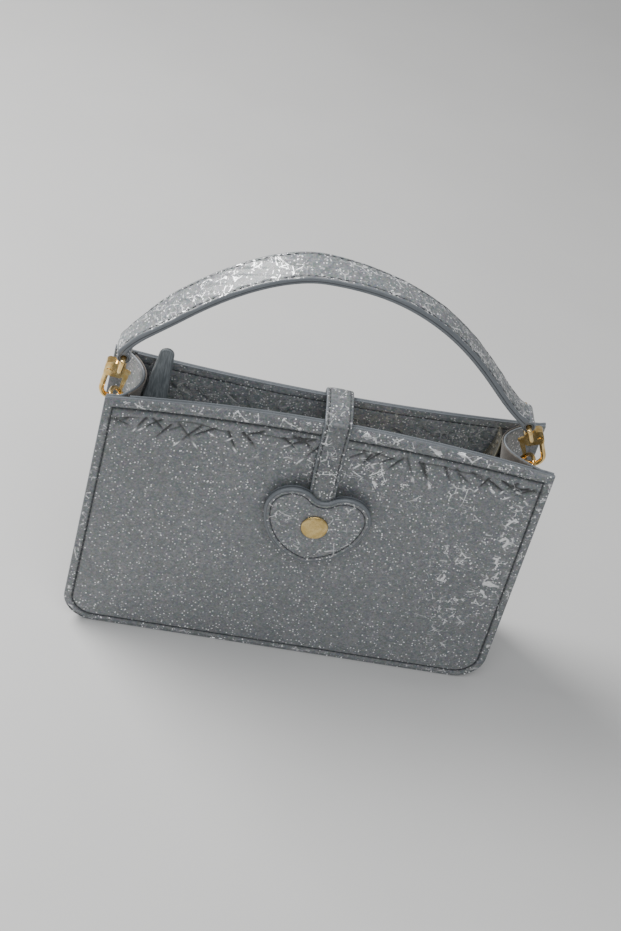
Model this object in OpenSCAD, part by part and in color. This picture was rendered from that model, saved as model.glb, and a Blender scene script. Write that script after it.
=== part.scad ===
// A small shoulder bag: two stiff panels joined by folding gussets and a base strip, a recessed zip,
// a closing strap with a heart-shaped snap tab, and a short handle on two swivel snap hooks.
// Millimetres. The front faces -Y, +X is to the right and +Z is up. The origin is on the floor, under
// the middle of the bag.

/* [Body] */
// Width of the panels at the mouth
top_w = 200; // [180:1:210]
// Width of the panels at the floor
bottom_w = 212; // [205:1:230]
// Height of the panels
panel_h = 137; // [125:1:150]
// Depth of the bag at the floor, outside
base_depth = 46; // [43:0.5:56]
// Depth of the bag at the mouth's corners, outside
mouth_depth = 38.4; // [37:0.2:44]
// Radius of the panels' bottom corners
corner_r = 16; // [13:0.5:20]
// Thickness of a panel, with its board
panel_t = 2; // [1.6:0.1:2.4]
// How far the front panel bows inwards at the mouth
front_bow = 9; // [4:0.5:10]
// How far the back panel bows inwards at the mouth
back_bow = 6.5; // [3:0.5:8]
// Width of the sewn edge that joins the gussets to the panels
flange_w = 6; // [4:0.5:8]
// Thickness of the gusset leather
gusset_t = 1.2; // [0.8:0.1:1.6]
// How far the left gusset folds inwards at the mouth
left_fold = 14; // [12:0.5:15]
// How far the right gusset folds inwards at the mouth
right_fold = 21; // [12:0.5:23]
// Height of the facings inside the mouth
facing_h = 25; // [18:0.5:32]
// Thickness of the facings
facing_t = 0.9; // [0.6:0.1:1.2]
// Thickness of the lining
lining_t = 0.6; // [0.4:0.1:0.8]
// Thickness of the stiff board in the base
board_t = 1.5; // [1:0.1:2]

/* [Zip] */
// Thickness of the tape
tape_t = 0.6; // [0.4:0.1:0.8]
// Distance from tooth to tooth along one tape
tooth_pitch = 2.6; // [2.2:0.1:4]
// Length of the slider
slider_l = 10; // [8:0.5:12]
// Width of the slider
slider_w = 8.4; // [7.4:0.2:9.4]
// Length of the slider's puller
puller_l = 22; // [14:1:26]
// Width of the leather tab on the zip's end
end_tab_w = 13; // [9:0.5:14]
// Length of the leather tab on the zip's end
end_tab_l = 39; // [34:1:46]

/* [Closing strap and heart tab] */
// Width of the closing strap
strap_w = 12.5; // [10:0.5:15]
// Thickness of the closing strap
strap_t = 1.8; // [1.4:0.1:2.2]
// Place of the strap's middle line across the bag
strap_x = 2; // [-10:0.5:10]
// Width of the heart
heart_w = 49.6; // [40:0.2:52]
// Height of the heart, from its tip to the tops of its lobes
heart_h = 40.4; // [38:0.2:46]
// Height of the snap's middle above the floor
snap_z = 85.5; // [80:0.5:88]
// Radius of the snap's cap
cap_r = 6.25; // [5:0.25:7.5]

/* [Handle] */
// Width of the handle strap
handle_w = 16; // [12:0.5:16]
// Thickness of the handle strap
handle_t = 3.4; // [2.6:0.1:4]
// Height of the handle's top above the floor, to the middle of the strap
handle_top = 208.5; // [185:0.5:235]

/* [Hooks and rings] */
// Radius of the rings' wire
ring_wire = 1; // [0.8:0.05:1.2]
// Radius of the rings' arc, to the middle of the wire
ring_r = 8; // [7:0.25:9]
// Width of the leather tabs that carry the rings
ring_tab_w = 9; // [7:0.5:11]
// Radius of the round bar that forms the hooks
hook_bar = 1.15; // [0.9:0.05:1.25]
// Inner radius of the hooks' mouths
hook_mouth = 3.4; // [3.2:0.1:3.8]
// Radius of the wire of the swivel eyes
eye_wire = 1.1; // [0.9:0.05:1.2]

/* [Hidden] */
$fn = 40;

// Clearances: layers sewn on each other, parts that move past each other, and shafts in their holes
seam_gap = 0.15;
rim_gap = 0.35;
running_gap = 0.07;
overrun = 1;

// Colours of the leather, its painted edges, the lining, the tape and the metals
glitter_color = [0.55, 0.6, 0.65];
edge_color = [0.42, 0.48, 0.54];
lining_color = [0.38, 0.34, 0.31];
tape_color = [0.12, 0.11, 0.08];
gold_color = [0.85, 0.7, 0.42];
board_color = [0.7, 0.65, 0.55];

// Shape of the panels: how fast they bow and the gussets fold with height
bow_power = 2;
fold_power = 1.4;
join_share = 0.22;
join_z = join_share * panel_h; // the base strip meets the gussets here
corner_steps = 5;
panel_rows = 7;
panel_cols = 14;
gusset_cols = 10;
facing_inset = flange_w + 3.5 * gusset_t;

function half_width(z) = (bottom_w - (bottom_w - top_w) * z / panel_h) / 2;
function lean_in(z) = (base_depth - mouth_depth) / 2 * z / panel_h;
function bow(x, z, depth) =
    depth * max(0, 1 - pow(x / half_width(z), 2)) * pow(z / panel_h, bow_power);
// Y of a layer that lies the given distance inside the front or back panel's outer face
function front_y(x, z, inside) = -base_depth / 2 + lean_in(z) + bow(x, z, front_bow) + inside;
function back_y(x, z, inside) = base_depth / 2 - lean_in(z) - bow(x, z, back_bow) - inside;
function panel_y(side, x, z, inside) = side < 0 ? front_y(x, z, inside) : back_y(x, z, inside);
function smooth(t) = let (c = min(1, max(0, t))) c * c * (3 - 2 * c);
function mix(a, b, t) = a + (b - a) * t;

// A closed sheet between two grids of points, whose rows run up and whose columns run across
module sheet(outer, inner) {
    rows = len(outer);
    cols = len(outer[0]);
    count = rows * cols;
    function at(i, j) = i * cols + j;
    function quad(a, b, c, d) = [[a, b, c], [a, c, d]];
    faces = [
        for (i = [0:rows - 2], j = [0:cols - 2], f = quad(at(i, j), at(i + 1, j), at(i + 1, j + 1),
            at(i, j + 1))) f,
        for (i = [0:rows - 2], j = [0:cols - 2], f = quad(count + at(i, j), count + at(i, j + 1),
            count + at(i + 1, j + 1), count + at(i + 1, j))) f,
        for (j = [0:cols - 2], f = quad(at(0, j), at(0, j + 1), count + at(0, j + 1),
            count + at(0, j))) f,
        for (j = [0:cols - 2], f = quad(at(rows - 1, j + 1), at(rows - 1, j),
            count + at(rows - 1, j), count + at(rows - 1, j + 1))) f,
        for (i = [0:rows - 2], f = quad(at(i + 1, 0), at(i, 0), count + at(i, 0),
            count + at(i + 1, 0))) f,
        for (i = [0:rows - 2], f = quad(at(i, cols - 1), at(i + 1, cols - 1),
            count + at(i + 1, cols - 1), count + at(i, cols - 1))) f
    ];
    polyhedron(points = concat([for (r = outer) each r], [for (r = inner) each r]), faces = faces);
}

// Heights of a panel's rows, and its half width there, for an outline that lies inset from the edge
function row_heights(inset, top) = concat(
    [for (i = [0:corner_steps]) inset + (corner_r - inset) * (1 - cos(90 * i / corner_steps))],
    [for (i = [1:panel_rows]) mix(corner_r, top, i / panel_rows)]);
function outline_half(z, inset) =
    let (r = corner_r - inset, up = min(r, z - inset))
    half_width(z) - inset - r + sqrt(max(0, r * r - (r - up) * (r - up)));
function panel_grid(side, inset, top, inside) = [
    for (z = row_heights(inset, top)) let (w = outline_half(z, inset)) [
        for (j = [0:panel_cols]) let (x = w * (2 * j / panel_cols - 1)) [x, panel_y(side, x, z, inside), z]
    ]];
function facing_grid(side, inside) = [
    for (i = [0:4]) let (z = panel_h - facing_h * (1 - i / 4), w = half_width(z) - facing_inset) [
        for (j = [0:panel_cols]) let (x = w * (2 * j / panel_cols - 1)) [x, panel_y(side, x, z, inside), z]
    ]];

// A layer of the given thickness that follows a panel
module layer(side, near, far) {
    if (side < 0) sheet(near, far);
    else sheet(far, near);
}

module front_panel() {
    color(glitter_color) difference() {
        layer(-1, panel_grid(-1, 0, panel_h, 0), panel_grid(-1, 0, panel_h, panel_t));
        at_snap() cylinder(r = stud_post_r + seam_gap, h = base_depth, center = true);
    }
}

module back_panel() {
    color(glitter_color) layer(1, panel_grid(1, 0, panel_h, 0), panel_grid(1, 0, panel_h, panel_t));
}

module facing(side) {
    near = panel_t + seam_gap;
    color(glitter_color) layer(side, facing_grid(side, near), facing_grid(side, near + facing_t));
}

module panel_lining(side) {
    near = panel_t + seam_gap;
    top = panel_h - facing_h - seam_gap;
    color(lining_color) difference() {
        layer(side, panel_grid(side, facing_inset, top, near),
            panel_grid(side, facing_inset, top, near + lining_t));
        if (side < 0) at_snap() cylinder(r = washer_r + seam_gap, h = base_depth, center = true);
    }
}

// The gusset's section: t runs from 1 at the front panel to -1 at the back one, and off is the
// distance inside the gusset's outer face. The web is a parabola that deepens with height.
function fold(side) = side < 0 ? left_fold : right_fold;
function fold_at(side, z) =
    (fold(side) - flange_w) * pow(max(0, (z - join_z) / (panel_h - join_z)), fold_power);
function web_point(side, t, z, off) =
    let (x = half_width(z) - flange_w, skin = panel_t + seam_gap + gusset_t, front = front_y(x, z, skin),
        back = back_y(x, z, skin), half = (back - front) / 2, deep = fold_at(side, z),
        slope = 2 * deep * t / half, n = sqrt(1 + slope * slope))
    [flange_w + deep * (1 - t * t) + off / n, (front + back) / 2 - half * t - off * slope / n];
function web_row(side, z, off, reach) =
    [for (j = [0:gusset_cols]) web_point(side, reach * (1 - 2 * j / gusset_cols), z, off)];
function edge_point(side, z, depth, off) =
    [depth, panel_y(side, half_width(z) - depth, z, panel_t + seam_gap + gusset_t - off)];
function gusset_row(side, z, off) = let (near = flange_share * flange_w) concat(
    [edge_point(-1, z, 0, off), edge_point(-1, z, near, off)], web_row(side, z, off, 1),
    [edge_point(1, z, near, off), edge_point(1, z, 0, off)]);
function stand(side, z, row) = [for (p = row) [side * (half_width(z) - p[0]), p[1], z]];
gusset_rows = 8;
flange_share = 0.85;
lining_shares = [0.97, 0.83];
function gusset_heights() = [for (i = [0:gusset_rows]) mix(join_z, panel_h, i / gusset_rows)];

module gusset(side) {
    outer = [for (z = gusset_heights()) stand(side, z, gusset_row(side, z, 0))];
    inner = [for (z = gusset_heights()) stand(side, z, gusset_row(side, z, gusset_t))];
    color(glitter_color) if (side < 0) sheet(inner, outer); else sheet(outer, inner);
}

// The gusset's lining stops short of the panels, further short where the gusset is folded
function lining_reach(side, z) =
    mix(lining_shares[0], lining_shares[1], smooth(2 * fold_at(side, z) / right_fold));
module gusset_lining(side) {
    near = gusset_t + seam_gap;
    function row(z, off) = stand(side, z, web_row(side, z, off, lining_reach(side, z)));
    outer = [for (z = gusset_heights()) row(z, near)];
    inner = [for (z = gusset_heights()) row(z, near + lining_t)];
    color(lining_color) if (side < 0) sheet(inner, outer); else sheet(outer, inner);
}

// Stations along the bag's outline, down one side, round the bottom and up the other: each is
// [side, height or angle or place, kind]. The point at a station lies the given depth inside the edge.
side_kind = 0;
corner_kind = 1;
floor_kind = 2;
floor_steps = 8;
stations = concat(
    [[-1, join_z, side_kind]],
    [for (i = [0:corner_steps]) [-1, 90 * i / corner_steps, corner_kind]],
    [for (i = [1:floor_steps - 1]) [0, 2 * i / floor_steps - 1, floor_kind]],
    [for (i = [corner_steps:-1:0]) [1, 90 * i / corner_steps, corner_kind]],
    [[1, join_z, side_kind]]);
function station_point(s, depth) =
    s[2] == side_kind ? [s[0] * (half_width(s[1]) - depth), s[1]] :
    s[2] == floor_kind ? [s[1] * (half_width(0) - corner_r), depth] :
    let (z = corner_r - (corner_r - depth) * sin(s[1]))
    [s[0] * (half_width(z) - corner_r + (corner_r - depth) * cos(s[1])), z];
function strip_row(s, off) =
    let (tip = station_point(s, 0), root = station_point(s, flange_w + off),
        inside = panel_t + seam_gap + gusset_t - off)
    [for (q = [[tip, -1], [root, -1], [root, 1], [tip, 1]])
        [q[0][0], panel_y(q[1], q[0][0], q[0][1], inside), q[0][1]]];

module base_strip() {
    color(glitter_color)
        sheet([for (s = stations) strip_row(s, gusset_t)], [for (s = stations) strip_row(s, 0)]);
}

board_z = flange_w + gusset_t + seam_gap;
board_w = base_depth - 2 * (panel_t + gusset_t + 4 * seam_gap);
board_l = 2 * (half_width(0) - corner_r);
module base_board() {
    color(board_color) translate([-board_l / 2, -board_w / 2, board_z]) cube([board_l, board_w, board_t]);
}

function base_lining_row(s, depth) =
    let (p = station_point(s, depth))
    [for (side = [-1, 1]) [p[0], panel_y(side, p[0], p[1], panel_t + 2 * lining_t + 2 * seam_gap), p[1]]];
module lining_base() {
    near = board_z + board_t + seam_gap;
    color(lining_color) sheet([for (s = stations) base_lining_row(s, near + lining_t)],
        [for (s = stations) base_lining_row(s, near)]);
}

// The zip lies across the mouth under the facings. It is closed at its right end and at the leather
// tab, and parted between: there each tape hangs down from its facing.
zip_z = panel_h - facing_h + tape_t;
zip_shift_share = 0.3;
zip_y = zip_shift_share * (front_bow - back_bow);
zip_end_shares = [-0.369, 0.33];
zip_left = zip_end_shares[0] * top_w;
zip_right = zip_end_shares[1] * top_w;
part_share = 0.03;
part_x = part_share * top_w; // the rows are parted from the leather tab to here
ramp_share = 0.17;
part_ramp = ramp_share * top_w;
hang_angle = 68;
tape_rows = 26;
tape_cols = 3;
tooth_l = 1.15;
tooth_w = 2.5;
tooth_t = 2;
tooth_gap = 0.25; // from the tape's edge
chain_gap = 0.5; // between the rows, for the slider's wedge
function parted(x) = smooth((x - zip_left) / part_ramp) * smooth((part_x - x) / part_ramp);
function tape_root(side, x) =
    panel_y(side, x, zip_z, panel_t + seam_gap + facing_t + seam_gap + tape_t / 2);
function tape_reach(side, x) =
    abs(zip_y - tape_root(side, x)) - chain_gap / 2 - tooth_w - tooth_gap;
// A point of the tape: across runs from 0 at the facing to 1 at the teeth
function tape_point(side, x, across, lift) =
    let (a = hang_angle * parted(x), w = across * tape_reach(side, x))
    [x, tape_root(side, x) - side * (w * cos(a) + lift * sin(a)), zip_z - w * sin(a) + lift * cos(a)];
function tape_grid(side, lift) = [
    for (i = [0:tape_rows]) let (x = mix(zip_left, zip_right, i / tape_rows))
        [for (j = [0:tape_cols]) tape_point(side, x, j / tape_cols, lift)]];

module zip_tape(side) {
    color(tape_color) if (side < 0) sheet(tape_grid(side, tape_t / 2), tape_grid(side, -tape_t / 2));
    else sheet(tape_grid(side, -tape_t / 2), tape_grid(side, tape_t / 2));
}

module zip_teeth(side) {
    count = floor((zip_right - zip_left) / tooth_pitch) - 1;
    shift = side < 0 ? 0 : tooth_pitch / 2;
    color(gold_color) for (i = [1:count]) {
        x = zip_left + i * tooth_pitch + shift - tooth_pitch / 2;
        edge = tape_point(side, x, 1, 0);
        translate(edge) rotate([side * hang_angle * parted(x), 0, 0])
            translate([-tooth_l / 2, side < 0 ? tooth_gap : -tooth_w - tooth_gap, -tooth_t / 2])
                cube([tooth_l, tooth_w, tooth_t]);
    }
}

// The free end of the closed zip turns up beside the right gusset
tail_w = 15;
tail_tip_w = 9;
tail_rise = 22;
tail_run = 12;
tail_lean = 7.3;
tail_steps = 8;
function tail_row(s, a, lift) =
    let (x = zip_right + seam_gap + tail_run * sin(a), z = zip_z + tail_rise * (1 - cos(a)))
    [for (side = [-1, 1]) [x - lift * sin(a), zip_y + tail_lean * s + side * mix(tail_w, tail_tip_w, s) / 2,
        z + lift * cos(a)]];
function tail_grid(lift) = [for (i = [0:tail_steps]) tail_row(i / tail_steps, 90 * i / tail_steps, lift)];
module zip_tail() {
    color(tape_color) sheet(tail_grid(tape_t / 2), tail_grid(-tape_t / 2));
}

// A leaf of folded leather on the zip's left end, standing up and leaning back
end_tab_t = 2.6;
end_tab_tip_w = 6;
end_tab_lean = 5;
end_tab_tilt = 5;
module zip_end_tab() {
    foot = end_tab_w / 2;
    tip = end_tab_tip_w / 2;
    color(edge_color) translate([zip_left - foot - seam_gap, zip_y, zip_z])
        rotate([90 - end_tab_lean, end_tab_tilt, 0]) linear_extrude(end_tab_t, center = true) union() {
            polygon([[-foot, 0], [foot, 0], [tip, end_tab_l - tip], [-tip, end_tab_l - tip]]);
            translate([0, end_tab_l - tip]) circle(tip);
            circle(foot);
        }
}

// The slider runs on the closed end of the zip: two plates joined by a thin wedge between the rows
slider_x = part_x + slider_l / 2 + tooth_l;
plate_t = 1;
plate_shares = [0.72, 0.6, 0.52]; // the plates' narrow end, the wedge, and the crown
slider_h = tooth_t + 2 * plate_t + 4 * seam_gap;
crown_h = 2.6;
crown_w = 2.4;
crown_bar = 1.1;
crown_x = plate_shares[2] * slider_l / 2;
wedge_t = chain_gap - 2 * seam_gap;
module at_slider() {
    translate([slider_x, zip_y, zip_z]) children();
}
module slider_plate() {
    nose = slider_w / 2;
    linear_extrude(plate_t) union() {
        translate([nose - slider_l / 2, 0]) circle(nose);
        translate([nose - slider_l / 2, -plate_shares[0] * nose])
            square([slider_l - nose, plate_shares[0] * slider_w]);
    }
}
module zip_slider() {
    color(gold_color) at_slider() {
        translate([0, 0, slider_h / 2 - plate_t]) slider_plate();
        translate([0, 0, -slider_h / 2]) slider_plate();
        translate([plate_t / 2 - slider_l / 2, -wedge_t / 2, plate_t / 2 - slider_h / 2])
            cube([plate_shares[1] * slider_l, wedge_t, slider_h - plate_t]);
        // Crown that holds the puller
        for (end = [-1, 1])
            translate([end * crown_x - crown_bar / 2, -crown_w / 2, (slider_h - plate_t) / 2])
                cube([crown_bar, crown_w, crown_h + plate_t / 2]);
        translate([-crown_x - crown_bar / 2, -crown_w / 2, slider_h / 2 + crown_h - seam_gap])
            cube([2 * crown_x + crown_bar, crown_w, crown_bar]);
    }
}

// The puller: a wire loop through the crown, and a flat rectangular grip
pull_bar = 0.6;
pull_w = 6;
pull_t = 1.4;
pull_pivot_z = slider_h / 2 + crown_h / 2;
module zip_puller() {
    inner = crown_w / 2 + 3 * seam_gap + pull_bar;
    loop_l = crown_x + crown_bar + pull_bar + 4 * seam_gap;
    color(gold_color) at_slider() translate([0, 0, pull_pivot_z]) {
        rotate([90, 0, 0]) cylinder(r = pull_bar, h = 2 * inner, center = true);
        for (side = [-1, 1]) translate([0, side * inner, 0]) {
            sphere(pull_bar);
            rotate([0, 90, 0]) cylinder(r = pull_bar, h = loop_l);
        }
        difference() {
            union() {
                translate([loop_l, -pull_w / 2, -pull_t / 2]) cube([puller_l - pull_w / 2, pull_w, pull_t]);
                translate([loop_l + puller_l - pull_w / 2, 0, 0])
                    cylinder(r = pull_w / 2, h = pull_t, center = true);
            }
            translate([loop_l + puller_l - pull_w / 2, 0, 0])
                cylinder(r = pull_w / 4, h = pull_t + overrun, center = true);
        }
    }
}

// The closing strap is one leather strip, sewn up the back panel and turned over its rim. It bends at
// the rim's top, so the sewn length and the free one are two solids that meet there. Their paths are
// the line of the strip's under side, as [y, z] points. The heart's plane follows the front panel.
tab_gap = 1.7;
heart_top_share = 0.46;
heart_tip_z = snap_z - (1 - heart_top_share) * heart_h;
heart_top_z = heart_tip_z + heart_h;
heart_tilt = atan2(front_y(strap_x, heart_top_z, 0) - front_y(strap_x, heart_tip_z, 0), heart_h);
snap_y = front_y(strap_x, snap_z, 0);
function heart_plane_y(z) = snap_y - tab_gap + (z - snap_z) * tan(heart_tilt);
anchor_l = 38;
strap_arch = 1.2;
bend_r = 0.6; // round which the strap turns over each rim
strap_end_z = snap_z + cap_r + strap_t;
back_rim_y = back_y(strap_x, panel_h, 0);
front_rim_y = front_y(strap_x, panel_h, 0);
bend_steps = 4;
top_steps = 6;
function normal_at(path, i) =
    let (a = path[max(0, i - 1)], b = path[min(len(path) - 1, i + 1)], d = b - a)
    [d[1], -d[0]] / norm(d);
module ribbon(path, thick, wide) {
    outer = [for (i = [0:len(path) - 1]) path[i] + thick * normal_at(path, i)];
    back = [for (i = [len(path) - 1:-1:0]) path[i]];
    rotate([90, 0, 90]) linear_extrude(wide, center = true) polygon(concat(outer, back));
}
anchor_steps = 4;
anchor_path = concat(
    [for (i = [0:anchor_steps - 1]) let (z = panel_h - anchor_l * (1 - i / anchor_steps) - bend_r)
        [back_y(strap_x, z, -seam_gap), z]],
    [for (i = [0:bend_steps]) let (a = 90 * i / bend_steps)
        [back_rim_y - bend_r + (bend_r + rim_gap) * cos(a), panel_h - bend_r + (bend_r + rim_gap) * sin(a)]]);
fold_y = back_rim_y - bend_r - seam_gap;
flap_path = concat(
    [for (i = [0:top_steps - 1]) let (s = i / top_steps)
        [mix(fold_y, front_rim_y + bend_r, s), panel_h + rim_gap + strap_arch * sin(180 * s)]],
    [for (i = [0:bend_steps]) let (a = 90 * i / bend_steps)
        [front_rim_y + bend_r - (bend_r + rim_gap) * sin(a), panel_h - bend_r + (bend_r + rim_gap) * cos(a)]],
    [for (i = [1:3]) let (z = mix(panel_h - bend_r, strap_end_z, i / 3))
        [mix(front_rim_y - rim_gap, heart_plane_y(z), smooth(i / 2)), z]]);

module closure_anchor() {
    color(glitter_color) translate([strap_x, 0, 0]) ribbon(anchor_path, strap_t, strap_w);
}
module closure_strap() {
    color(glitter_color) translate([strap_x, 0, 0]) ribbon(flap_path, strap_t, strap_w);
}

// Places a child on the front panel at the snap: its Z points out of the panel
module at_snap() {
    translate([strap_x, snap_y, snap_z]) rotate([90 - heart_tilt, 0, 0]) children();
}

// The heart's outline, one half of it: a rounded cleft, a lobe, a full side and a round tip, each an
// arc that touches the next. The origin is the snap's middle.
round_shares = [0.254, 0.16, 0.6, 0.12]; // radii of lobe, tip, side and cleft
lobe_r = round_shares[0] * heart_w;
tip_r = round_shares[1] * heart_w;
side_r = round_shares[2] * heart_w;
cleft_r = round_shares[3] * heart_w;
lobe = [heart_w / 2 - lobe_r, heart_top_z - snap_z - lobe_r];
tip = [0, heart_tip_z - snap_z + tip_r];
cleft = [0, lobe[1] + sqrt(pow(lobe_r + cleft_r, 2) - pow(lobe[0], 2))];
function angle_to(from, to) = atan2(to[1] - from[1], to[0] - from[0]);
// The point at distance ra from a and rb from b, on the right of the way from a to b
function meeting(a, ra, b, rb) =
    let (d = norm(b - a), along = (ra * ra - rb * rb + d * d) / (2 * d), u = (b - a) / d)
    a + along * u + sqrt(ra * ra - along * along) * [u[1], -u[0]];
side_middle = meeting(lobe, side_r - lobe_r, tip, side_r - tip_r);
outline_steps = 14;
function arc_points(middle, r, from, to) =
    [for (i = [0:outline_steps]) let (a = mix(from, to, i / outline_steps)) middle + r * [cos(a), sin(a)]];
half_heart = concat(
    [for (i = [0:outline_steps - 1]) let (a = mix(-90, angle_to(cleft, lobe), i / outline_steps))
        cleft + cleft_r * [cos(a), sin(a)]],
    arc_points(lobe, lobe_r, 180 + angle_to(cleft, lobe), angle_to(side_middle, lobe)),
    [for (i = [1:outline_steps - 1]) let (a = mix(angle_to(side_middle, lobe), angle_to(side_middle, tip),
        i / outline_steps)) side_middle + side_r * [cos(a), sin(a)]],
    arc_points(tip, tip_r, angle_to(side_middle, tip), -90));
module heart_outline() {
    last = len(half_heart) - 1;
    polygon(concat(half_heart, [for (i = [last - 1:-1:1]) [-half_heart[i][0], half_heart[i][1]]]));
}

post_r = 1.5;
stud_post_r = 1.2;
socket_r = 5;
socket_h = 2.3;
socket_stand = 0.7;
washer_r = 4.5;
washer_t = 0.8;
stud_r = 2.1;
stud_h = 1.5;
stud_play = 0.9;
cap_h = 1.5;
layer_t = strap_t;
socket_back = tab_gap - socket_stand;

module heart_front() {
    color(glitter_color) at_snap() translate([0, 0, tab_gap + layer_t + seam_gap]) difference() {
        linear_extrude(layer_t) heart_outline();
        cylinder(r = post_r + running_gap, h = 4 * layer_t, center = true);
    }
}

// The heart's back layer is cut away where the strap's end is sewn between the two layers
module heart_back() {
    slot_w = strap_w + 2 * seam_gap;
    color(edge_color) at_snap() translate([0, 0, tab_gap]) difference() {
        linear_extrude(layer_t) heart_outline();
        translate([-slot_w / 2, cap_r + layer_t - seam_gap, -overrun])
            cube([slot_w, heart_h, layer_t + 2 * overrun]);
        cylinder(r = socket_r + seam_gap, h = 4 * layer_t, center = true);
    }
}

// The cap's profile: a low dome with a rounded rim, on a rivet post that ends in the socket
dome_steps = 6;
cap_shares = [0.94, 0.86, 0.3, 0.5]; // its foot, the start of its rim's roll, and the roll's rise
module snap_cap() {
    foot = tab_gap + 2 * layer_t + 2 * seam_gap;
    post_l = foot - socket_back - socket_h;
    color(gold_color) at_snap() {
        translate([0, 0, foot]) rotate_extrude() polygon(concat([[0, 0], [cap_r * cap_shares[0], 0]],
            [for (i = [0:dome_steps]) let (a = 90 * i / dome_steps)
                [cap_r * mix(cap_shares[1], 1, cos(a)), cap_h * (cap_shares[2] + cap_shares[3] * sin(a))]],
            [[0, cap_h]]));
        translate([0, 0, foot - post_l]) cylinder(r = post_r, h = post_l + cap_h / 2);
    }
}

module snap_socket() {
    color(gold_color) at_snap() translate([0, 0, socket_back]) difference() {
        cylinder(r = socket_r, h = socket_h);
        translate([0, 0, -overrun]) cylinder(r = stud_r + stud_play, h = stud_h + overrun + 2 * seam_gap);
    }
}

stud_base_t = 0.8;
stud_neck_r = 1.8;
stud_top_r = 1.5;
module snap_stud() {
    low = -panel_t - washer_t / 2;
    color(gold_color) at_snap() rotate_extrude() polygon([[0, low], [stud_post_r, low],
        [stud_post_r, seam_gap], [washer_r, seam_gap], [washer_r, stud_base_t / 2], [stud_r, stud_base_t],
        [stud_neck_r, stud_base_t], [stud_r, stud_base_t + stud_h / 2],
        [stud_top_r, stud_base_t + stud_h], [0, stud_base_t + stud_h]]);
}
module snap_washer() {
    color(gold_color) at_snap() translate([0, 0, -panel_t - seam_gap - washer_t]) difference() {
        cylinder(r = washer_r, h = washer_t);
        cylinder(r = stud_post_r + running_gap, h = 4 * washer_t, center = true);
    }
}

// Hooks, rings and tabs. A hook hangs in its ring at the wire's middle, the hook point, and leans
// inwards at its top. A ring leans outwards from its bar, which its tab carries.
hook_shares = [-0.493, 0.4725];
hook_x = hook_shares * top_w;
hook_drop = [12, 7.5];
hook_lean = [8, 25];
ring_lean = [35, 20];
function hand(side) = side < 0 ? 0 : 1;
function hook_point(side) = [hook_x[hand(side)], panel_h - hook_drop[hand(side)]];
function ring_bar(side) = let (a = ring_lean[hand(side)])
    hook_point(side) - ring_r * [side * sin(a), cos(a)];

tab_leather = 1.4;
tab_root_drop = 27;
tab_root_z = panel_h - tab_root_drop;
tab_patch_h = 16;
loop_r = ring_wire + running_gap + tab_leather;
function gusset_x(side, z) = side * (half_width(z) - web_point(side, 0, z, 0)[0]);
function patch_off(side, z) = let (half = mouth_depth / 2 - panel_t - gusset_t)
    fold_at(side, z) * pow(ring_tab_w / 2 / half, 2) + 2 * seam_gap;

// A tab is sewn on its gusset, and rises doubled to a loop round the ring's bar
module ring_tab(side) {
    bar = ring_bar(side);
    low = tab_root_z - tab_patch_h;
    function face(z) = [gusset_x(side, z) + side * patch_off(side, tab_root_z), z];
    root = face(tab_root_z) + [side * tab_leather / 2, 0];
    along = (bar - root) / norm(bar - root);
    out = side * tab_leather * [along[1], -along[0]];
    end = bar - (loop_r - tab_leather / 2) * along;
    color(edge_color) rotate([90, 0, 0]) difference() {
        union() {
            linear_extrude(ring_tab_w, center = true) polygon([face(low), face(low) + [side * tab_leather, 0],
                root + out + tab_leather * along, end + out, end - out, face(tab_root_z + tab_leather)]);
            translate(bar) cylinder(r = loop_r, h = ring_tab_w, center = true);
        }
        translate(bar) cylinder(r = ring_wire + running_gap, h = 2 * ring_tab_w, center = true);
    }
}

module d_ring(side) {
    bar = ring_bar(side);
    color(gold_color) translate([bar[0], 0, bar[1]]) rotate([0, side * ring_lean[hand(side)], 0]) {
        rotate([90, 0, 0]) cylinder(r = ring_wire, h = 2 * ring_r, center = true);
        for (end = [-1, 1]) translate([0, end * ring_r, 0]) sphere(ring_wire);
        rotate([0, -90, 0]) rotate([0, 0, -90])
            rotate_extrude(angle = 180) translate([ring_r, 0]) circle(ring_wire);
    }
}

// Places a child at the hook point, with its X outwards and its Z up the hook's stem
module at_hook(side) {
    point = hook_point(side);
    translate([point[0], 0, point[1]]) rotate([0, -side * hook_lean[hand(side)], 0])
        mirror([side < 0 ? 1 : 0, 0, 0]) children();
}

hook_play = 0.45;
bend_r_mid = hook_mouth + hook_bar;
mouth_z = hook_mouth - ring_wire - hook_play;
hook_end_angle = 130;
hook_end_r = 0.95;
hook_end_l = 1.2;
bar_lap = 0.3;
bar_step = 0.05;
head_low = 10.2;
head_h = 7.4;
head_t = 4.4;
head_in = -2.8;
head_rim = 0.3;
head_out = bend_r_mid + hook_bar + head_rim;
head_floor = 1;
slot_t = 2.2;
slot_room = 0.2;
pin_x = 4;
pin_r = 0.7;
gate_end_r = 1.3;
pin_z = head_low + head_floor + slot_room + gate_end_r;
neck_r = 2;
neck_h = 0.9;
stem_r = 1;
stem_top = head_low + head_h + neck_h;
button_r = 1.5;
button_h = 0.9;
button_z = 15;

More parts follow.
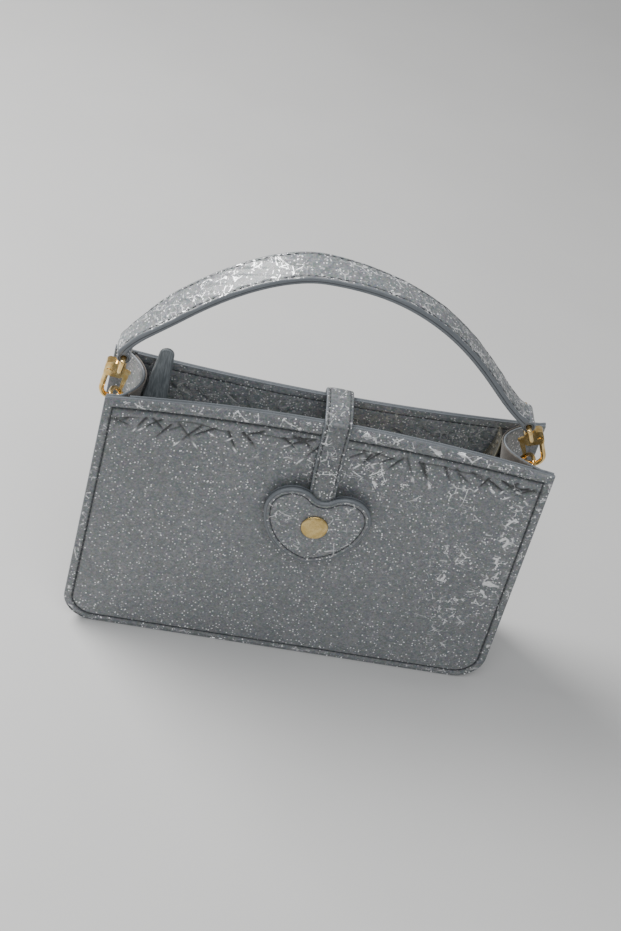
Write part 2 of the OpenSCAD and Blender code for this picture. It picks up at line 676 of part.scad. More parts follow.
module hook_body(side) {
    color(gold_color) at_hook(side) {
        translate([0, 0, mouth_z]) {
            rotate([90, 0, 0]) rotate([0, 0, -hook_end_angle])
                rotate_extrude(angle = hook_end_angle) translate([bend_r_mid, 0]) circle(hook_bar);
            rotate([0, 90 + hook_end_angle, 0]) translate([0, 0, bend_r_mid]) {
                translate([-bar_lap, 0, 0]) rotate([0, 90, 0])
                    cylinder(r1 = hook_bar + bar_step, r2 = hook_end_r, h = hook_end_l + bar_lap);
                translate([hook_end_l, 0, 0]) sphere(hook_end_r);
            }
            translate([bend_r_mid, 0, -bar_lap])
                cylinder(r = hook_bar + bar_step, h = head_low - mouth_z + head_floor + bar_lap);
        }
        difference() {
            union() {
                rotate([90, 0, 0]) linear_extrude(head_t, center = true) head_outline();
                translate([0, 0, head_low + head_h]) cylinder(r = neck_r, h = neck_h);
            }
            rotate([90, 0, 0]) linear_extrude(slot_t, center = true) slot_outline();
            // Bore for the stem, with a pocket for its button
            translate([0, 0, button_z]) cylinder(r = button_r + running_gap, h = button_h + 2 * seam_gap);
            translate([0, 0, button_z]) cylinder(r = stem_r + running_gap, h = 2 * head_h);
            translate([pin_x, 0, pin_z]) rotate([90, 0, 0])
                cylinder(r = pin_r, h = 2 * head_t, center = true);
        }
    }
}
module head_outline() {
    corner = head_h / 4;
    translate([head_in, head_low + corner]) square([head_out - head_in, head_h - 2 * corner]);
    translate([head_in + corner, head_low]) square([head_out - head_in - 2 * corner, head_h]);
    for (x = [head_in + corner, head_out - corner], z = [head_low + corner, head_low + head_h - corner])
        translate([x, z]) circle(corner);
}

// Slot for the gate, open on the inner side and below it
module slot_outline() {
    room = gate_end_r + slot_room;
    translate([pin_x, pin_z]) circle(room);
    polygon([[pin_x, pin_z + room], [head_in - overrun, pin_z + room],
        [head_in - overrun, head_low - overrun], [pin_x - 2 * room, head_low - overrun],
        [pin_x, pin_z - room]]);
}

// The gate: a lever on the pin that crosses to the inner side, with a thumb piece, and runs down
// to the end of the hook
gate_t = 1.1;
gate_shift = 0.42;
gate_x = -3.9;
gate_tip = [-3.6, 1.1];
gate_tip_r = 0.6;
gate_arm_r = 1.2;
thumb_l = 1.1;
thumb_r = 0.7;
module hook_gate(side) {
    elbow = [gate_x, pin_z - gate_arm_r];
    color(gold_color) at_hook(side) translate([0, gate_shift, 0]) rotate([90, 0, 0]) difference() {
        linear_extrude(gate_t, center = true) union() {
            translate([pin_x, pin_z]) circle(gate_end_r);
            polygon([[pin_x, pin_z + gate_arm_r], elbow + [0, 2 * gate_arm_r],
                [gate_x - thumb_l, pin_z + thumb_r], [gate_x - thumb_l, pin_z - thumb_r],
                elbow - [gate_arm_r, gate_arm_r], gate_tip - [gate_tip_r, 0], gate_tip + [gate_tip_r, 0],
                elbow + [gate_arm_r, -gate_arm_r], [pin_x, pin_z - gate_arm_r]]);
            translate(gate_tip) circle(gate_tip_r);
            translate([gate_x - thumb_l, pin_z]) circle(thumb_r);
        }
        translate([pin_x, pin_z, 0]) cylinder(r = pin_r + running_gap, h = 2 * head_t, center = true);
    }
}

// The pin is riveted over at both ends
rivet_r = 1.2;
rivet_h = 0.35;
module gate_pin(side) {
    color(gold_color) at_hook(side) translate([pin_x, 0, pin_z]) rotate([90, 0, 0]) {
        cylinder(r = pin_r, h = head_t, center = true);
        for (end = [-1, 1]) translate([0, 0, end * (head_t + rivet_h) / 2])
            cylinder(r = rivet_r, h = rivet_h, center = true);
    }
}

// Turns of spring wire round the pin, beside the gate
spring_wire = 0.2;
pitch_share = 1.9;
spring_pitch = pitch_share * spring_wire; // each turn touches the next
spring_facets = 16;
module gate_spring(side) {
    middle = (gate_shift - (gate_t + slot_t) / 2) / 2;
    color(gold_color) at_hook(side) translate([pin_x, middle, pin_z]) rotate([90, 0, 0])
        for (end = [-1, 1]) translate([0, 0, end * spring_pitch / 2]) rotate_extrude()
            translate([pin_r + running_gap + spring_wire, 0]) circle(spring_wire, $fn = spring_facets);
}

// The swivel eye: a stem in the hook's head, and a rectangular ring that the handle loops through
eye_in = handle_w / 2 + rim_gap;
eye_low = stem_top + eye_wire + seam_gap;
eye_h = 5.2;
eye_top = eye_low + eye_h;
module hook_eye(side) {
    color(gold_color) at_hook(side) {
        translate([0, 0, button_z + seam_gap]) cylinder(r = button_r, h = button_h);
        translate([0, 0, button_z + seam_gap]) cylinder(r = stem_r, h = eye_low - button_z);
        for (z = [eye_low, eye_top]) translate([0, 0, z]) rotate([90, 0, 0])
            cylinder(r = eye_wire, h = 2 * (eye_in + eye_wire), center = true);
        for (end = [-1, 1]) translate([0, end * (eye_in + eye_wire), eye_low]) {
            cylinder(r = eye_wire, h = eye_h);
            sphere(eye_wire);
            translate([0, 0, eye_h]) sphere(eye_wire);
        }
    }
}

// The handle is one band, whose middle line is two curves that meet at its peak, with a loop at each
// end round the swivel eye's upper bar
handle_steps = 22;
peak_share = -0.096;
handle_peak = [peak_share * top_w, handle_top];
flat_shares = [0.457, 0.596];
out_shares = [[0.034, 0.091], [-0.2215, 0.187]];
loop_wall = 2.3;
eye_room = eye_wire + 2 * running_gap;
function eye_point(side) = let (a = hook_lean[hand(side)])
    hook_point(side) + eye_top * [-side * sin(a), cos(a)];
function curve(a, b, c, d, t) =
    pow(1 - t, 3) * a + 3 * t * pow(1 - t, 2) * b + 3 * t * t * (1 - t) * c + pow(t, 3) * d;
// The half of the middle line from the peak to the eye
function half_line(side) =
    let (eye = eye_point(side), p = handle_peak, h = hand(side), span = eye - p,
        out = [out_shares[h][0] * span[0], -out_shares[h][1] * span[1]],
        end = eye + (eye_room + loop_wall / 2) * out / norm(out))
    [for (i = [0:handle_steps])
        curve(p, p + [flat_shares[h] * span[0], 0], eye + out, end, i / handle_steps)];
module handle_strap() {
    left = half_line(-1);
    right = half_line(1);
    line = concat([for (i = [handle_steps:-1:1]) left[i]], right);
    last = len(line) - 1;
    half = handle_t / 2;
    upper = [for (i = [0:last]) line[i] - half * normal_at(line, i)];
    lower = [for (i = [last:-1:0]) line[i] + half * normal_at(line, i)];
    color(glitter_color) rotate([90, 0, 0]) difference() {
        union() {
            linear_extrude(handle_w, center = true) polygon(concat(upper, lower));
            for (side = [-1, 1]) translate(eye_point(side))
                cylinder(r = eye_room + loop_wall, h = handle_w, center = true);
        }
        for (side = [-1, 1]) translate(eye_point(side))
            cylinder(r = eye_room, h = handle_w + 2 * overrun, center = true);
    }
}

front_panel();
back_panel();
gusset(-1);  // gusset_left
gusset(1);  // gusset_right
base_strip();
base_board();
facing(-1);  // front_facing
facing(1);  // back_facing
panel_lining(-1);  // lining_front
panel_lining(1);  // lining_back
gusset_lining(-1);  // lining_left
gusset_lining(1);  // lining_right
lining_base();
zip_tape(-1);  // zip_tape_front
zip_tape(1);  // zip_tape_back
zip_teeth(-1);  // zip_teeth_front
zip_teeth(1);  // zip_teeth_back
zip_tail();
zip_end_tab();
zip_slider();
zip_puller();
closure_anchor();
closure_strap();
heart_front();
heart_back();
snap_cap();
snap_socket();
snap_stud();
snap_washer();
handle_strap();
ring_tab(-1);  // ring_tab_left
ring_tab(1);  // ring_tab_right
d_ring(-1);  // d_ring_left
d_ring(1);  // d_ring_right
hook_eye(-1);  // hook_eye_left
hook_eye(1);  // hook_eye_right
hook_body(-1);  // hook_body_left
hook_body(1);  // hook_body_right
hook_gate(-1);  // hook_gate_left
hook_gate(1);  // hook_gate_right
gate_pin(-1);  // gate_pin_left
gate_pin(1);  // gate_pin_right
gate_spring(-1);  // gate_spring_left
gate_spring(1);  // gate_spring_right
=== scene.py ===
import bpy
import numpy as np
from mathutils import Matrix, Vector
from numpy import array, clip, cos, linspace, pi, sin, sqrt


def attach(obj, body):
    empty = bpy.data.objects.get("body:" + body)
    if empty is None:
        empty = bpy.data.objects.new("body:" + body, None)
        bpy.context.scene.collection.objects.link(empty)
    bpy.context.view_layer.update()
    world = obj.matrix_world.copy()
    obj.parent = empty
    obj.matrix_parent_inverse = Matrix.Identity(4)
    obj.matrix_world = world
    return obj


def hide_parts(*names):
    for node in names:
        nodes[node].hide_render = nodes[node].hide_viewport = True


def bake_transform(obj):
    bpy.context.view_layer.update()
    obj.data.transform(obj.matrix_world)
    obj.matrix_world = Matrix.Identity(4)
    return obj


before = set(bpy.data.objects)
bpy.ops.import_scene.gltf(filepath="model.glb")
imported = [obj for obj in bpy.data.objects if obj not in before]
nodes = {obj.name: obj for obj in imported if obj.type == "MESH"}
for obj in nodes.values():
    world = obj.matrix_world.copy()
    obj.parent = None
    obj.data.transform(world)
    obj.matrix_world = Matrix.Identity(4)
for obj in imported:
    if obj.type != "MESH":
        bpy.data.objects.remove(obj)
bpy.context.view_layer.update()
mm = 0.001
print("frame loaded:", len(nodes), "nodes")

# The bag's own sizes in millimetres, as the frame has them
bag = {"mouthWidth": 200, "floorWidth": 212, "height": 137, "floorDepth": 46, "mouthDepth": 38.4,
       "cornerRadius": 16, "panelThick": 2, "frontBow": 9, "backBow": 6.5, "flange": 6,
       "gussetThick": 1.2, "leftFold": 14, "rightFold": 21, "foldPower": 1.4, "joinHeight": 30.14,
       "facingHeight": 25, "facingThick": 0.9, "liningThick": 0.6, "liningInset": 10.2, "gap": 0.15}
rim, gap, joinHeight, gussetThick = (bag[key] for key in ("height", "gap", "joinHeight", "gussetThick"))
nextLayer = bag["panelThick"] + gap  # from a panel's outer face to what lies inside it
skin = nextLayer + gussetThick  # from a panel's outer face to a gusset's inner one
xAxis, yAxis = np.eye(3)[:2]


# Shapes

def smoothStep(t):  # 3t^2 - 2t^3 between 0 and 1
    c = clip(t, 0, 1)
    return c * c * (3 - 2 * c)


def plateau(x, start, end, up, down):  # a smooth step up from start and one down to end
    return smoothStep((x - start) / up) * smoothStep((end - x) / down)


def between(a, b, t):  # a at 0, b at 1, and straight between them
    return a + (b - a) * t


def hump(t, width):  # bell curve: exp(-(t / width)^2)
    return np.exp(-(t / width) ** 2)


def join(*parts, axis=0):  # arrays end to end
    return np.concatenate(parts, axis)


def grid(*parts):  # coordinates over one grid, as points
    return np.stack(np.broadcast_arrays(*parts), -1)


def unit(v):  # vectors divided by their own length
    return v / np.linalg.norm(v, axis=-1, keepdims=True)


def runAlong(path):  # how far along a path each of its points is
    return np.append(0, np.cumsum(np.linalg.norm(np.diff(path, axis=0), axis=1)))


def pick(values, run, at):  # rows of values, read between their places on a run
    return grid(*(np.interp(at, run, column) for column in values.T))


def evenly(path, count):  # points at equal steps along a path
    run = runAlong(path)
    return pick(path, run, linspace(0, run[-1], count))


def sideNormals(path):  # the path's direction turned a quarter turn to its left
    d = unit(np.gradient(path, axis=0))
    return grid(-d[:, 1], d[:, 0])


def beside(path, normals, off):  # both coordinates of a path moved off along its normals
    return path[:, :1] + normals[:, :1] * off, path[:, 1:] + normals[:, 1:] * off


def halfWidth(z):  # the panels narrow evenly from the floor to the mouth
    return (bag["floorWidth"] - (bag["floorWidth"] - bag["mouthWidth"]) * z / rim) / 2


def panelY(side, x, z, inside):
    # the panels lean in evenly, and bow in by a parabola across that grows with the height squared
    lean = (bag["floorDepth"] - bag["mouthDepth"]) / 2 * z / rim
    bow = bag["frontBow"] if side < 0 else bag["backBow"]
    dip = bow * np.maximum(0, 1 - (x / halfWidth(z)) ** 2) * (z / rim) ** 2
    return side * (bag["floorDepth"] / 2 - lean - dip - inside)


def foldDepth(side, z):  # how far a gusset folds in: a power of the height above where it starts
    fold = bag["leftFold"] if side < 0 else bag["rightFold"]
    return (fold - bag["flange"]) * np.maximum(0, (z - joinHeight) / (rim - joinHeight)) ** bag["foldPower"]


def roundCorner(depth, share):  # x and z on a bottom corner's arc, from the side at 0 to the floor at 1
    r, a = bag["cornerRadius"], pi / 2 * share
    z = r - (r - depth) * sin(a)
    return halfWidth(z) - r + (r - depth) * cos(a), z


# Meshes

def makePiece(name, points, quads, triangles, finishes, faceFinish=0, marks=None, sharp=50):
    # a shell whose signed volume is negative faces inwards, and is turned round
    quads, triangles = np.reshape(quads, (-1, 4)), array(triangles, int).reshape(-1, 3)
    split = join(quads[:, [0, 1, 2]], quads[:, [0, 2, 3]], triangles)
    a, b, c = (points[split[:, k]] for k in range(3))
    if (a * np.cross(b, c)).sum() < 0:
        quads, triangles = quads[:, ::-1], triangles[:, ::-1]
    mesh = bpy.data.meshes.new(name)
    mesh.from_pydata((points * mm).tolist(), [], quads.tolist() + triangles.tolist())
    for finish in finishes:
        mesh.materials.append(finish)
    faces = len(mesh.polygons)
    mesh.polygons.foreach_set("material_index", np.broadcast_to(faceFinish, faces).astype(np.int32))
    mesh.polygons.foreach_set("use_smooth", np.ones(faces, bool))
    mesh.set_sharp_from_angle(angle=np.radians(sharp))
    for key, values in (marks or {}).items():
        mark = mesh.attributes.new(key, "FLOAT", "POINT")
        mark.data.foreach_set("value", np.asarray(values, np.float32))
    mesh.update()
    piece = bpy.data.objects.new(name, mesh)
    bpy.context.scene.collection.objects.link(piece)
    return piece


def gridQuads(rows, columns, around=False, joined=False):
    # four corners of each cell; around joins the last column to the first, joined the last row
    i = np.arange(rows if joined else rows - 1)[:, None]
    j = np.arange(columns if around else columns - 1)[None, :]
    k, m = (j + 1) % columns, (i + 1) % rows
    return grid(i * columns + j, i * columns + k, m * columns + k, m * columns + j)


def spread(marks, shape):  # every mark as one value for each point
    return {key: np.broadcast_to(value, shape).ravel() for key, value in (marks or {}).items()}


def ringShell(name, rings, finishes, rowFinish=0, columnFinish=0, marks=None, joined=False):
    # closed loops of points, one after another, closed at both ends by a fan round the loop's middle
    rows, count = rings.shape[:2]
    quads = gridQuads(rows, count, True, joined)
    finish = np.maximum(np.reshape(rowFinish, (-1, 1)), np.reshape(columnFinish, (1, -1)))
    finish = np.broadcast_to(finish, quads.shape[:2])
    points, triangles, faceFinish = rings.reshape(-1, 3), (), finish.ravel()
    marks = spread(marks, rings.shape[:2])
    if not joined:
        j = np.arange(count)
        k, low, last = (j + 1) % count, rows * count, (rows - 1) * count
        points = join(points, rings[:1].mean(1), rings[-1:].mean(1))
        triangles = join(grid(low, k, j), grid(low + 1, last + j, last + k))
        faceFinish = join(faceFinish, finish[0], finish[-1])
        marks = {key: np.append(value, [value[0], value[-1]]) for key, value in marks.items()}
    return makePiece(name, points, quads, triangles, finishes, faceFinish, marks)


def slabShell(name, outer, inner, finishes, rimRows=(0, 0), rimColumns=(0, 0), marks=None):
    # two grids of points and a strip between their edges; finishes are outer, inner and edge
    rows, columns = outer.shape[:2]
    cells, n = gridQuads(rows, columns), rows * columns
    finish = np.zeros(cells.shape[:2], int)
    finish[:rimRows[0]] = finish[rows - 1 - rimRows[1]:] = 2
    finish[:, :rimColumns[0]] = finish[:, columns - 1 - rimColumns[1]:] = 2
    o = np.arange(n).reshape(rows, columns)
    loop = join(o[0, :-1], o[:-1, -1], o[-1, :0:-1], o[:0:-1, 0])
    after = np.roll(loop, -1)
    cells, finish = cells.reshape(-1, 4), finish.ravel()
    quads = join(cells, cells[:, ::-1] + n, grid(after, loop, loop + n, after + n))
    faceFinish = join(finish, np.where(finish == 2, 2, 1), np.full(len(loop), 2))
    marks = {key: np.tile(value, 2) for key, value in spread(marks, (rows, columns)).items()}
    points = join(outer.reshape(-1, 3), inner.reshape(-1, 3))
    return makePiece(name, points, quads, (), finishes, faceFinish, marks)


def copies(name, points, quads, triangles, finish, sharp):
    # one small shape many times: a block of points for each, its faces counted on from block to block
    shift = (np.arange(len(points)) * (points[0].size // 3))[:, None, None]
    return makePiece(name, points.reshape(-1, 3), np.reshape(quads, (-1, 4)) + shift,
                     array(triangles, int).reshape(-1, 3) + shift, [finish], sharp=sharp)


def seat(piece, body, slot, *stands):  # its body, its slot (not used), and the nodes whose place it takes
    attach(piece, body)
    if stands:
        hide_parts(*stands)
    return piece


# Finishes: sums of sockets add their own Math nodes

class Shade:
    def __init__(self, finish, socket):
        self.finish, self.socket = finish, socket

    def sum(self, operation, *values):  # one Math node
        return self.finish.node("ShaderNodeMath", {"operation": operation}, dict(enumerate(values)))

    def __add__(self, other): return self.sum("ADD", self, other)
    def __sub__(self, other): return self.sum("SUBTRACT", self, other)
    def __rsub__(self, other): return self.sum("SUBTRACT", other, self)
    def __mul__(self, other): return self.sum("MULTIPLY", self, other)
    def wave(self): return self.sum("SINE", self)
    __radd__, __rmul__ = __add__, __mul__

    def rise(self, low, high):  # 0 below low, 1 above high, smooth between; falls where low is above high
        settings = {"interpolation_type": "SMOOTHSTEP"}
        inputs = {"Value": self, "From Min": low, "From Max": high}
        return self.finish.node("ShaderNodeMapRange", settings, inputs)


class Finish:
    def __init__(self, name, constants):
        self.material = bpy.data.materials.new(name)
        self.material.use_nodes = True
        self.tree = self.material.node_tree
        self.shader = self.tree.nodes["Principled BSDF"]
        for key, value in constants.items():
            self.shader.inputs[key].default_value = value

    def feed(self, socket, value):  # a link or a constant
        if isinstance(value, Shade):
            self.tree.links.new(value.socket, socket)
        else:
            socket.default_value = value

    def node(self, kind, settings, inputs, output=0):  # any node: its settings first, then its sockets
        node = self.tree.nodes.new(kind)
        for key, value in settings.items():
            setattr(node, key, value)
        for key, value in inputs.items():
            self.feed(node.inputs[key], value)
        return Shade(self, node.outputs[output])

    def place(self, stretch=(1, 1, 1), turn=(0, 0, 0)):  # the piece's own coordinates, in millimetres
        here = self.node("ShaderNodeTexCoord", {}, {}, "Object")
        inputs = {"Vector": here, "Rotation": np.radians(turn), "Scale": [1000 * s for s in stretch]}
        return self.node("ShaderNodeMapping", {}, inputs)

    def cells(self, place, size, output="Distance", feature="F1"):  # cells about size millimetres wide
        inputs = {"Vector": place, "Scale": 1 / size}
        return self.node("ShaderNodeTexVoronoi", {"feature": feature}, inputs, output)

    def noise(self, place, size, detail=2, output=0):  # clouds about size millimetres wide
        inputs = {"Vector": place, "Scale": 1 / size, "Detail": detail}
        return self.node("ShaderNodeTexNoise", {}, inputs, output)

    def part(self, color, channel="Red"):  # one channel of a colour, as a number
        return self.node("ShaderNodeSeparateColor", {}, {"Color": color}, channel)

    def cellTone(self, place, size, channel="Red"):  # a number that each cell keeps for itself
        return self.part(self.cells(place, size, "Color"), channel)

    def mark(self, key):  # a piece's own attribute, 0 where it has none
        return self.node("ShaderNodeAttribute", {"attribute_name": key}, {}, "Fac")

    def mix(self, factor, a, b):  # colour a at 0, colour b at 1
        return self.node("ShaderNodeMix", {"data_type": "RGBA"}, {0: factor, 6: a, 7: b}, 2)

    def vector(self, operation, inputs):
        return self.node("ShaderNodeVectorMath", {"operation": operation}, inputs)

    def scaled(self, color, factor):
        return self.vector("SCALE", {0: color, "Scale": factor})

    def shove(self, place, size, reach):  # moves a place by up to reach, the way a noise's colour says
        off = self.vector("SUBTRACT", {0: self.noise(self.place(), size, 1, "Color"), 1: (0.5, 0.5, 0.5)})
        return self.vector("ADD", {0: place, 1: self.scaled(off, reach)})

    def finish(self, color, roughness, metallic=None, coat=None, relief=None):
        looks = {"Base Color": color, "Roughness": roughness, "Metallic": metallic, "Coat Weight": coat}
        if relief is not None:  # relief is in millimetres
            looks["Normal"] = self.node("ShaderNodeBump", {}, {"Height": relief, "Distance": mm})
        for key, value in looks.items():
            if value is not None:
                self.feed(self.shader.inputs[key], value)
        return self.material


glitter = {"base": (0.118, 0.129, 0.137, 1), "light": (0.210, 0.225, 0.236, 1),
           "fleck": (0.95, 0.96, 0.97, 1), "grain": 0.7, "coarse": 1.3, "fleck size": 1.45, "star": 3.1,
           "film": 6.5, "coat": 0.5, "tint": 0.04}


def glitterLeather(name, tone=0.96, film=0.2, sparkle=1.3):
    # fine grain of cells that each have a tone, bright flecks where a cell's own number is high, and a
    # clear film whose straight creases follow the borders of larger cells, thicker where a painted highlight
    # run is marked
    f = Finish(name, {"Coat Roughness": 0.16, "Specular IOR Level": 0.5})
    place, g, shade = f.place(), glitter, f.mark("shade")
    tints = f.cells(place, g["grain"], "Color")
    grain, coarse = f.part(tints), f.cellTone(place, g["coarse"], "Green")
    fleck = f.cells(place, g["fleck size"]).rise(0.33, 0.12) * f.cellTone(place, g["fleck size"]).rise(0.3, 1)
    star = f.cells(place, g["star"]).rise(0.16, 0.08) * f.cellTone(place, g["star"], "Green").rise(0.3, 0.65)
    bent, long = f.shove(place, 9, 3), f.shove(f.place((1, 1, 2.6), (0, 38, 0)), 7, 2)
    border = f.cells(bent, g["film"], "Distance", "DISTANCE_TO_EDGE")
    scratch = f.cells(long, g["film"] * 0.8, "Distance", "DISTANCE_TO_EDGE")
    amount, island = f.mark("crumpleAndHighlight") + film, f.noise(place, 3.6, 1)
    patchy = f.noise(place, 12, 2).rise(0.36, 0.56) * island.rise(0.47, 0.56) * amount * 1.3
    # the painted highlight run thickens the creases' near-white lines
    paintedHighlightRun = island.rise(0.44, 0.54) * f.mark("paintedHighlightRun") * 1.6
    crease = (border.rise(0.055, 0) + scratch.rise(0.04, 0) * 0.8) * patchy
    crease = (crease + (border.rise(0.12, 0) + scratch.rise(0.07, 0)) * paintedHighlightRun).rise(0.1, 0.9)
    facet = f.cells(bent, g["film"]) + f.cells(long, g["film"] * 0.8) * 0.6
    # flecks and stars are the leather's own glitter; the paintedGlint mark adds painted highlights
    bright = ((fleck + star) * sparkle * (1 - 0.85 * shade) + f.mark("paintedGlint")).rise(0, 1)
    uneven = grain * 0.55 + coarse * 0.45 + (f.noise(place, 26, 3) - 0.5) * 0.4
    ground = f.mix(g["tint"], f.mix(uneven.rise(0.1, 1), g["base"], g["light"]), tints)
    # the shade mark darkens the ground and dims the flecks: painted shade
    ground = f.scaled(ground, tone * (1 - 0.8 * shade))
    # the film's creases are painted near-white: silvery foil lines and painted highlights both
    color = f.mix(crease * 0.8, f.mix(bright, ground, g["fleck"]), g["fleck"])
    shiny = (bright * 0.5 + crease).rise(0, 1)
    relief = (grain + coarse) * 0.012 + bright * 0.02 + (facet * 0.16 + border.rise(0.12, 0) * 0.05) * amount
    return f.finish(color, 0.5 - shiny * 0.28, shiny * 0.45, g["coat"] * (1 - 0.7 * shade), relief)


paint = {"base": (0.105, 0.118, 0.132, 1), "light": (0.185, 0.203, 0.222, 1),
         "dark": (0.022, 0.026, 0.032, 1)}


def paintedEdge(name):  # layers of edge paint: thin waves along it, darker where a groove is marked: painted shade in the groove
    f = Finish(name, {"Coat Weight": 0.25, "Coat Roughness": 0.25})
    place = f.place()
    wave, fine = f.noise(place, 5, 3), f.noise(place, 0.7, 2)
    color = f.mix(wave * 0.7 + fine * 0.3, paint["base"], paint["light"])
    color = f.mix(f.mark("shade"), color, paint["dark"])
    return f.finish(color, 0.34 + fine * 0.16, relief=wave * 0.12 + fine * 0.03)


def plainLeather(name, base, light):  # smooth leather with fine straight streaks, darker where the shade mark is: painted shade
    f = Finish(name, {"Coat Weight": 0.2, "Coat Roughness": 0.3})
    streak = f.noise(f.place((3, 3, 0.25), (0, 12, 0)), 1.2, 3)
    color = f.scaled(f.mix(streak.rise(0.3, 0.75), base, light), 1 - 0.6 * f.mark("shade"))
    return f.finish(color, 0.42 + streak * 0.15, relief=streak * 0.05 + f.cells(f.place(), 0.5) * 0.02)


def weave(name, base, light, pitch):
    # warp and weft: two sines at right angles, each thread over the other by turns; paler where a pale edge
    # is marked
    f = Finish(name, {"Sheen Weight": 0.2, "Sheen Roughness": 0.5})
    place = f.place()
    fuzz = f.noise(place, 1.4, 3)
    x, y, z = (f.node("ShaderNodeSeparateXYZ", {}, {"Vector": place}, axis) for axis in "XYZ")
    rate = 2 * pi / pitch
    cloth = ((x + y) * rate).wave() * (z * rate).wave() * 0.5 + 0.5
    pale = (cloth * 0.6 + fuzz * 0.4 + f.mark("paleEdge") * 2).rise(0, 2)
    color = f.mix(pale, base, [3 * c for c in light[:3]] + [1])
    return f.finish(color, 0.85 - fuzz * 0.1, relief=cloth * 0.06 + fuzz * 0.1)


def metal(name, base, tint, rough, wear=0.06):  # plated metal with faint wear and hairlines
    f = Finish(name, {"Metallic": 1.0})
    cloudy = f.noise(f.place(), 2.5, 4)
    hair = f.noise(f.place((6, 6, 0.4), (20, 30, 0)), 0.8, 2)
    color = f.mix(cloudy.rise(0.35, 0.7), base, tint)
    return f.finish(color, rough + (cloudy + hair * 0.5) * wear, relief=cloudy * 0.02 + hair * 0.004)


def threadFinish(name, base, light):  # a fine twist that runs at a slant
    f = Finish(name, {"Sheen Weight": 0.15})
    twist = f.noise(f.place((1, 1, 1), (0, 45, 0)), 0.25, 2)
    relief = twist * 0.06 + f.noise(f.place(), 3) * 0.01
    return f.finish(f.mix(twist, base, light), 0.7 + twist * 0.2, relief=relief)


glitterFinish = glitterLeather("glitterLeather")
# a lighter copy of the glitter leather with more sparkle for the inside of the mouth: painted light
litInnerGlitter = glitterLeather("litInnerGlitter", 1.45, 0.3, 2.3)
# a darker copy of the glitter leather for the closing strap: painted shade
shadedStrapGlitter = glitterLeather("shadedStrapGlitter", 0.78, 0.35, 1.7)
# more film creases, painted near-white as foil lines and painted highlights both
handleGlitter = glitterLeather("handleGlitter", 1.02, 0.75, 2.2)
edgeFinish = paintedEdge("paintedEdge")
leafLeather = plainLeather("leafLeather", (0.115, 0.132, 0.145, 1), (0.24, 0.265, 0.28, 1))
boardFinish = plainLeather("boardFinish", (0.32, 0.27, 0.20, 1), (0.42, 0.37, 0.29, 1))
liningCloth = weave("liningCloth", (0.068, 0.059, 0.050, 1), (0.144, 0.128, 0.112, 1), 0.5)
tapeCloth = weave("tapeCloth", (0.010, 0.0095, 0.006, 1), (0.040, 0.037, 0.024, 1), 0.6)
goldPlate = metal("goldPlate", (0.78, 0.51, 0.18, 1), (0.95, 0.73, 0.37, 1), 0.07)
satinGold = metal("satinGold", (0.54, 0.39, 0.15, 1), (0.72, 0.54, 0.25, 1), 0.2, 0.1)
toothMetal = metal("toothMetal", (0.80, 0.74, 0.60, 1), (0.92, 0.88, 0.78, 1), 0.3)
springSteel = metal("springSteel", (0.55, 0.55, 0.56, 1), (0.7, 0.7, 0.7, 1), 0.2)
darkThread = threadFinish("darkThread", (0.018, 0.021, 0.026, 1), (0.055, 0.062, 0.072, 1))
print("finishes made")

# The panels

panel = {"columns": {"floor": 110, "corner": 18, "side": 84, "top": 400}, "deep": (15.4, 24),
         "middle": 0.45, "stitchIn": (4, 5.2), "stitchSag": 1.3, "groove": 0.35, "hem": 4.2,
         "hemRoll": 0.85, "hemSwell": 0.55, "ridge": 0.34, "ridgeDown": 9.6, "wave": 0.32, "dents": 50,
         # crumpled film with painted highlights: x and its reach, z and its reach, how much; painted
         # highlight run: x, its reach, z from, to, fades
         "crumpleAndHighlightSpots": ((80, 14, 66, 42, 0.9), (8, 34, 116, 9, 0.6), (46, 26, 114, 8, 0.6)),
         "paintedHighlightRun": (90.3, 2.6, 53, 117, 6, 6)}
dent = {"spread": 0.94, "shift": 1.8, "down": (8.4, 11.5), "lean": (24, 66), "length": (7.5, 13.5),
        "depth": (0.4, 0.75), "half": 0.64, "missing": 0.18, "lowest": 26}


def outlineRings(sideInset, topInset):
    # loops inside the panel's outline: straight floor, round corners, slanted sides, and a top that sags
    # in the middle by a parabola, as the hem's stitches do
    d, t = (np.reshape(inset, (-1, 1)).astype(float) for inset in (sideInset, topInset))
    floor, corner, side, across = (linspace(0, 1, n, endpoint=False) for n in panel["columns"].values())
    r, top = bag["cornerRadius"], rim - t
    sag = panel["stitchSag"] * smoothStep(t / panel["stitchIn"][1]) * (1 - (1 - 2 * across) ** 2)
    right, left = roundCorner(d, 1 - corner), roundCorner(d, corner)
    up, down = between(r, top, side), between(top, r, side)
    x = ((2 * floor - 1) * (halfWidth(d) - r), right[0], halfWidth(up) - d,
         (1 - 2 * across) * (halfWidth(top) - d), d - halfWidth(down), -left[0])
    return join(*x, axis=1), join(d + 0 * floor, right[1], up, top - sag, down, left[1], axis=1)


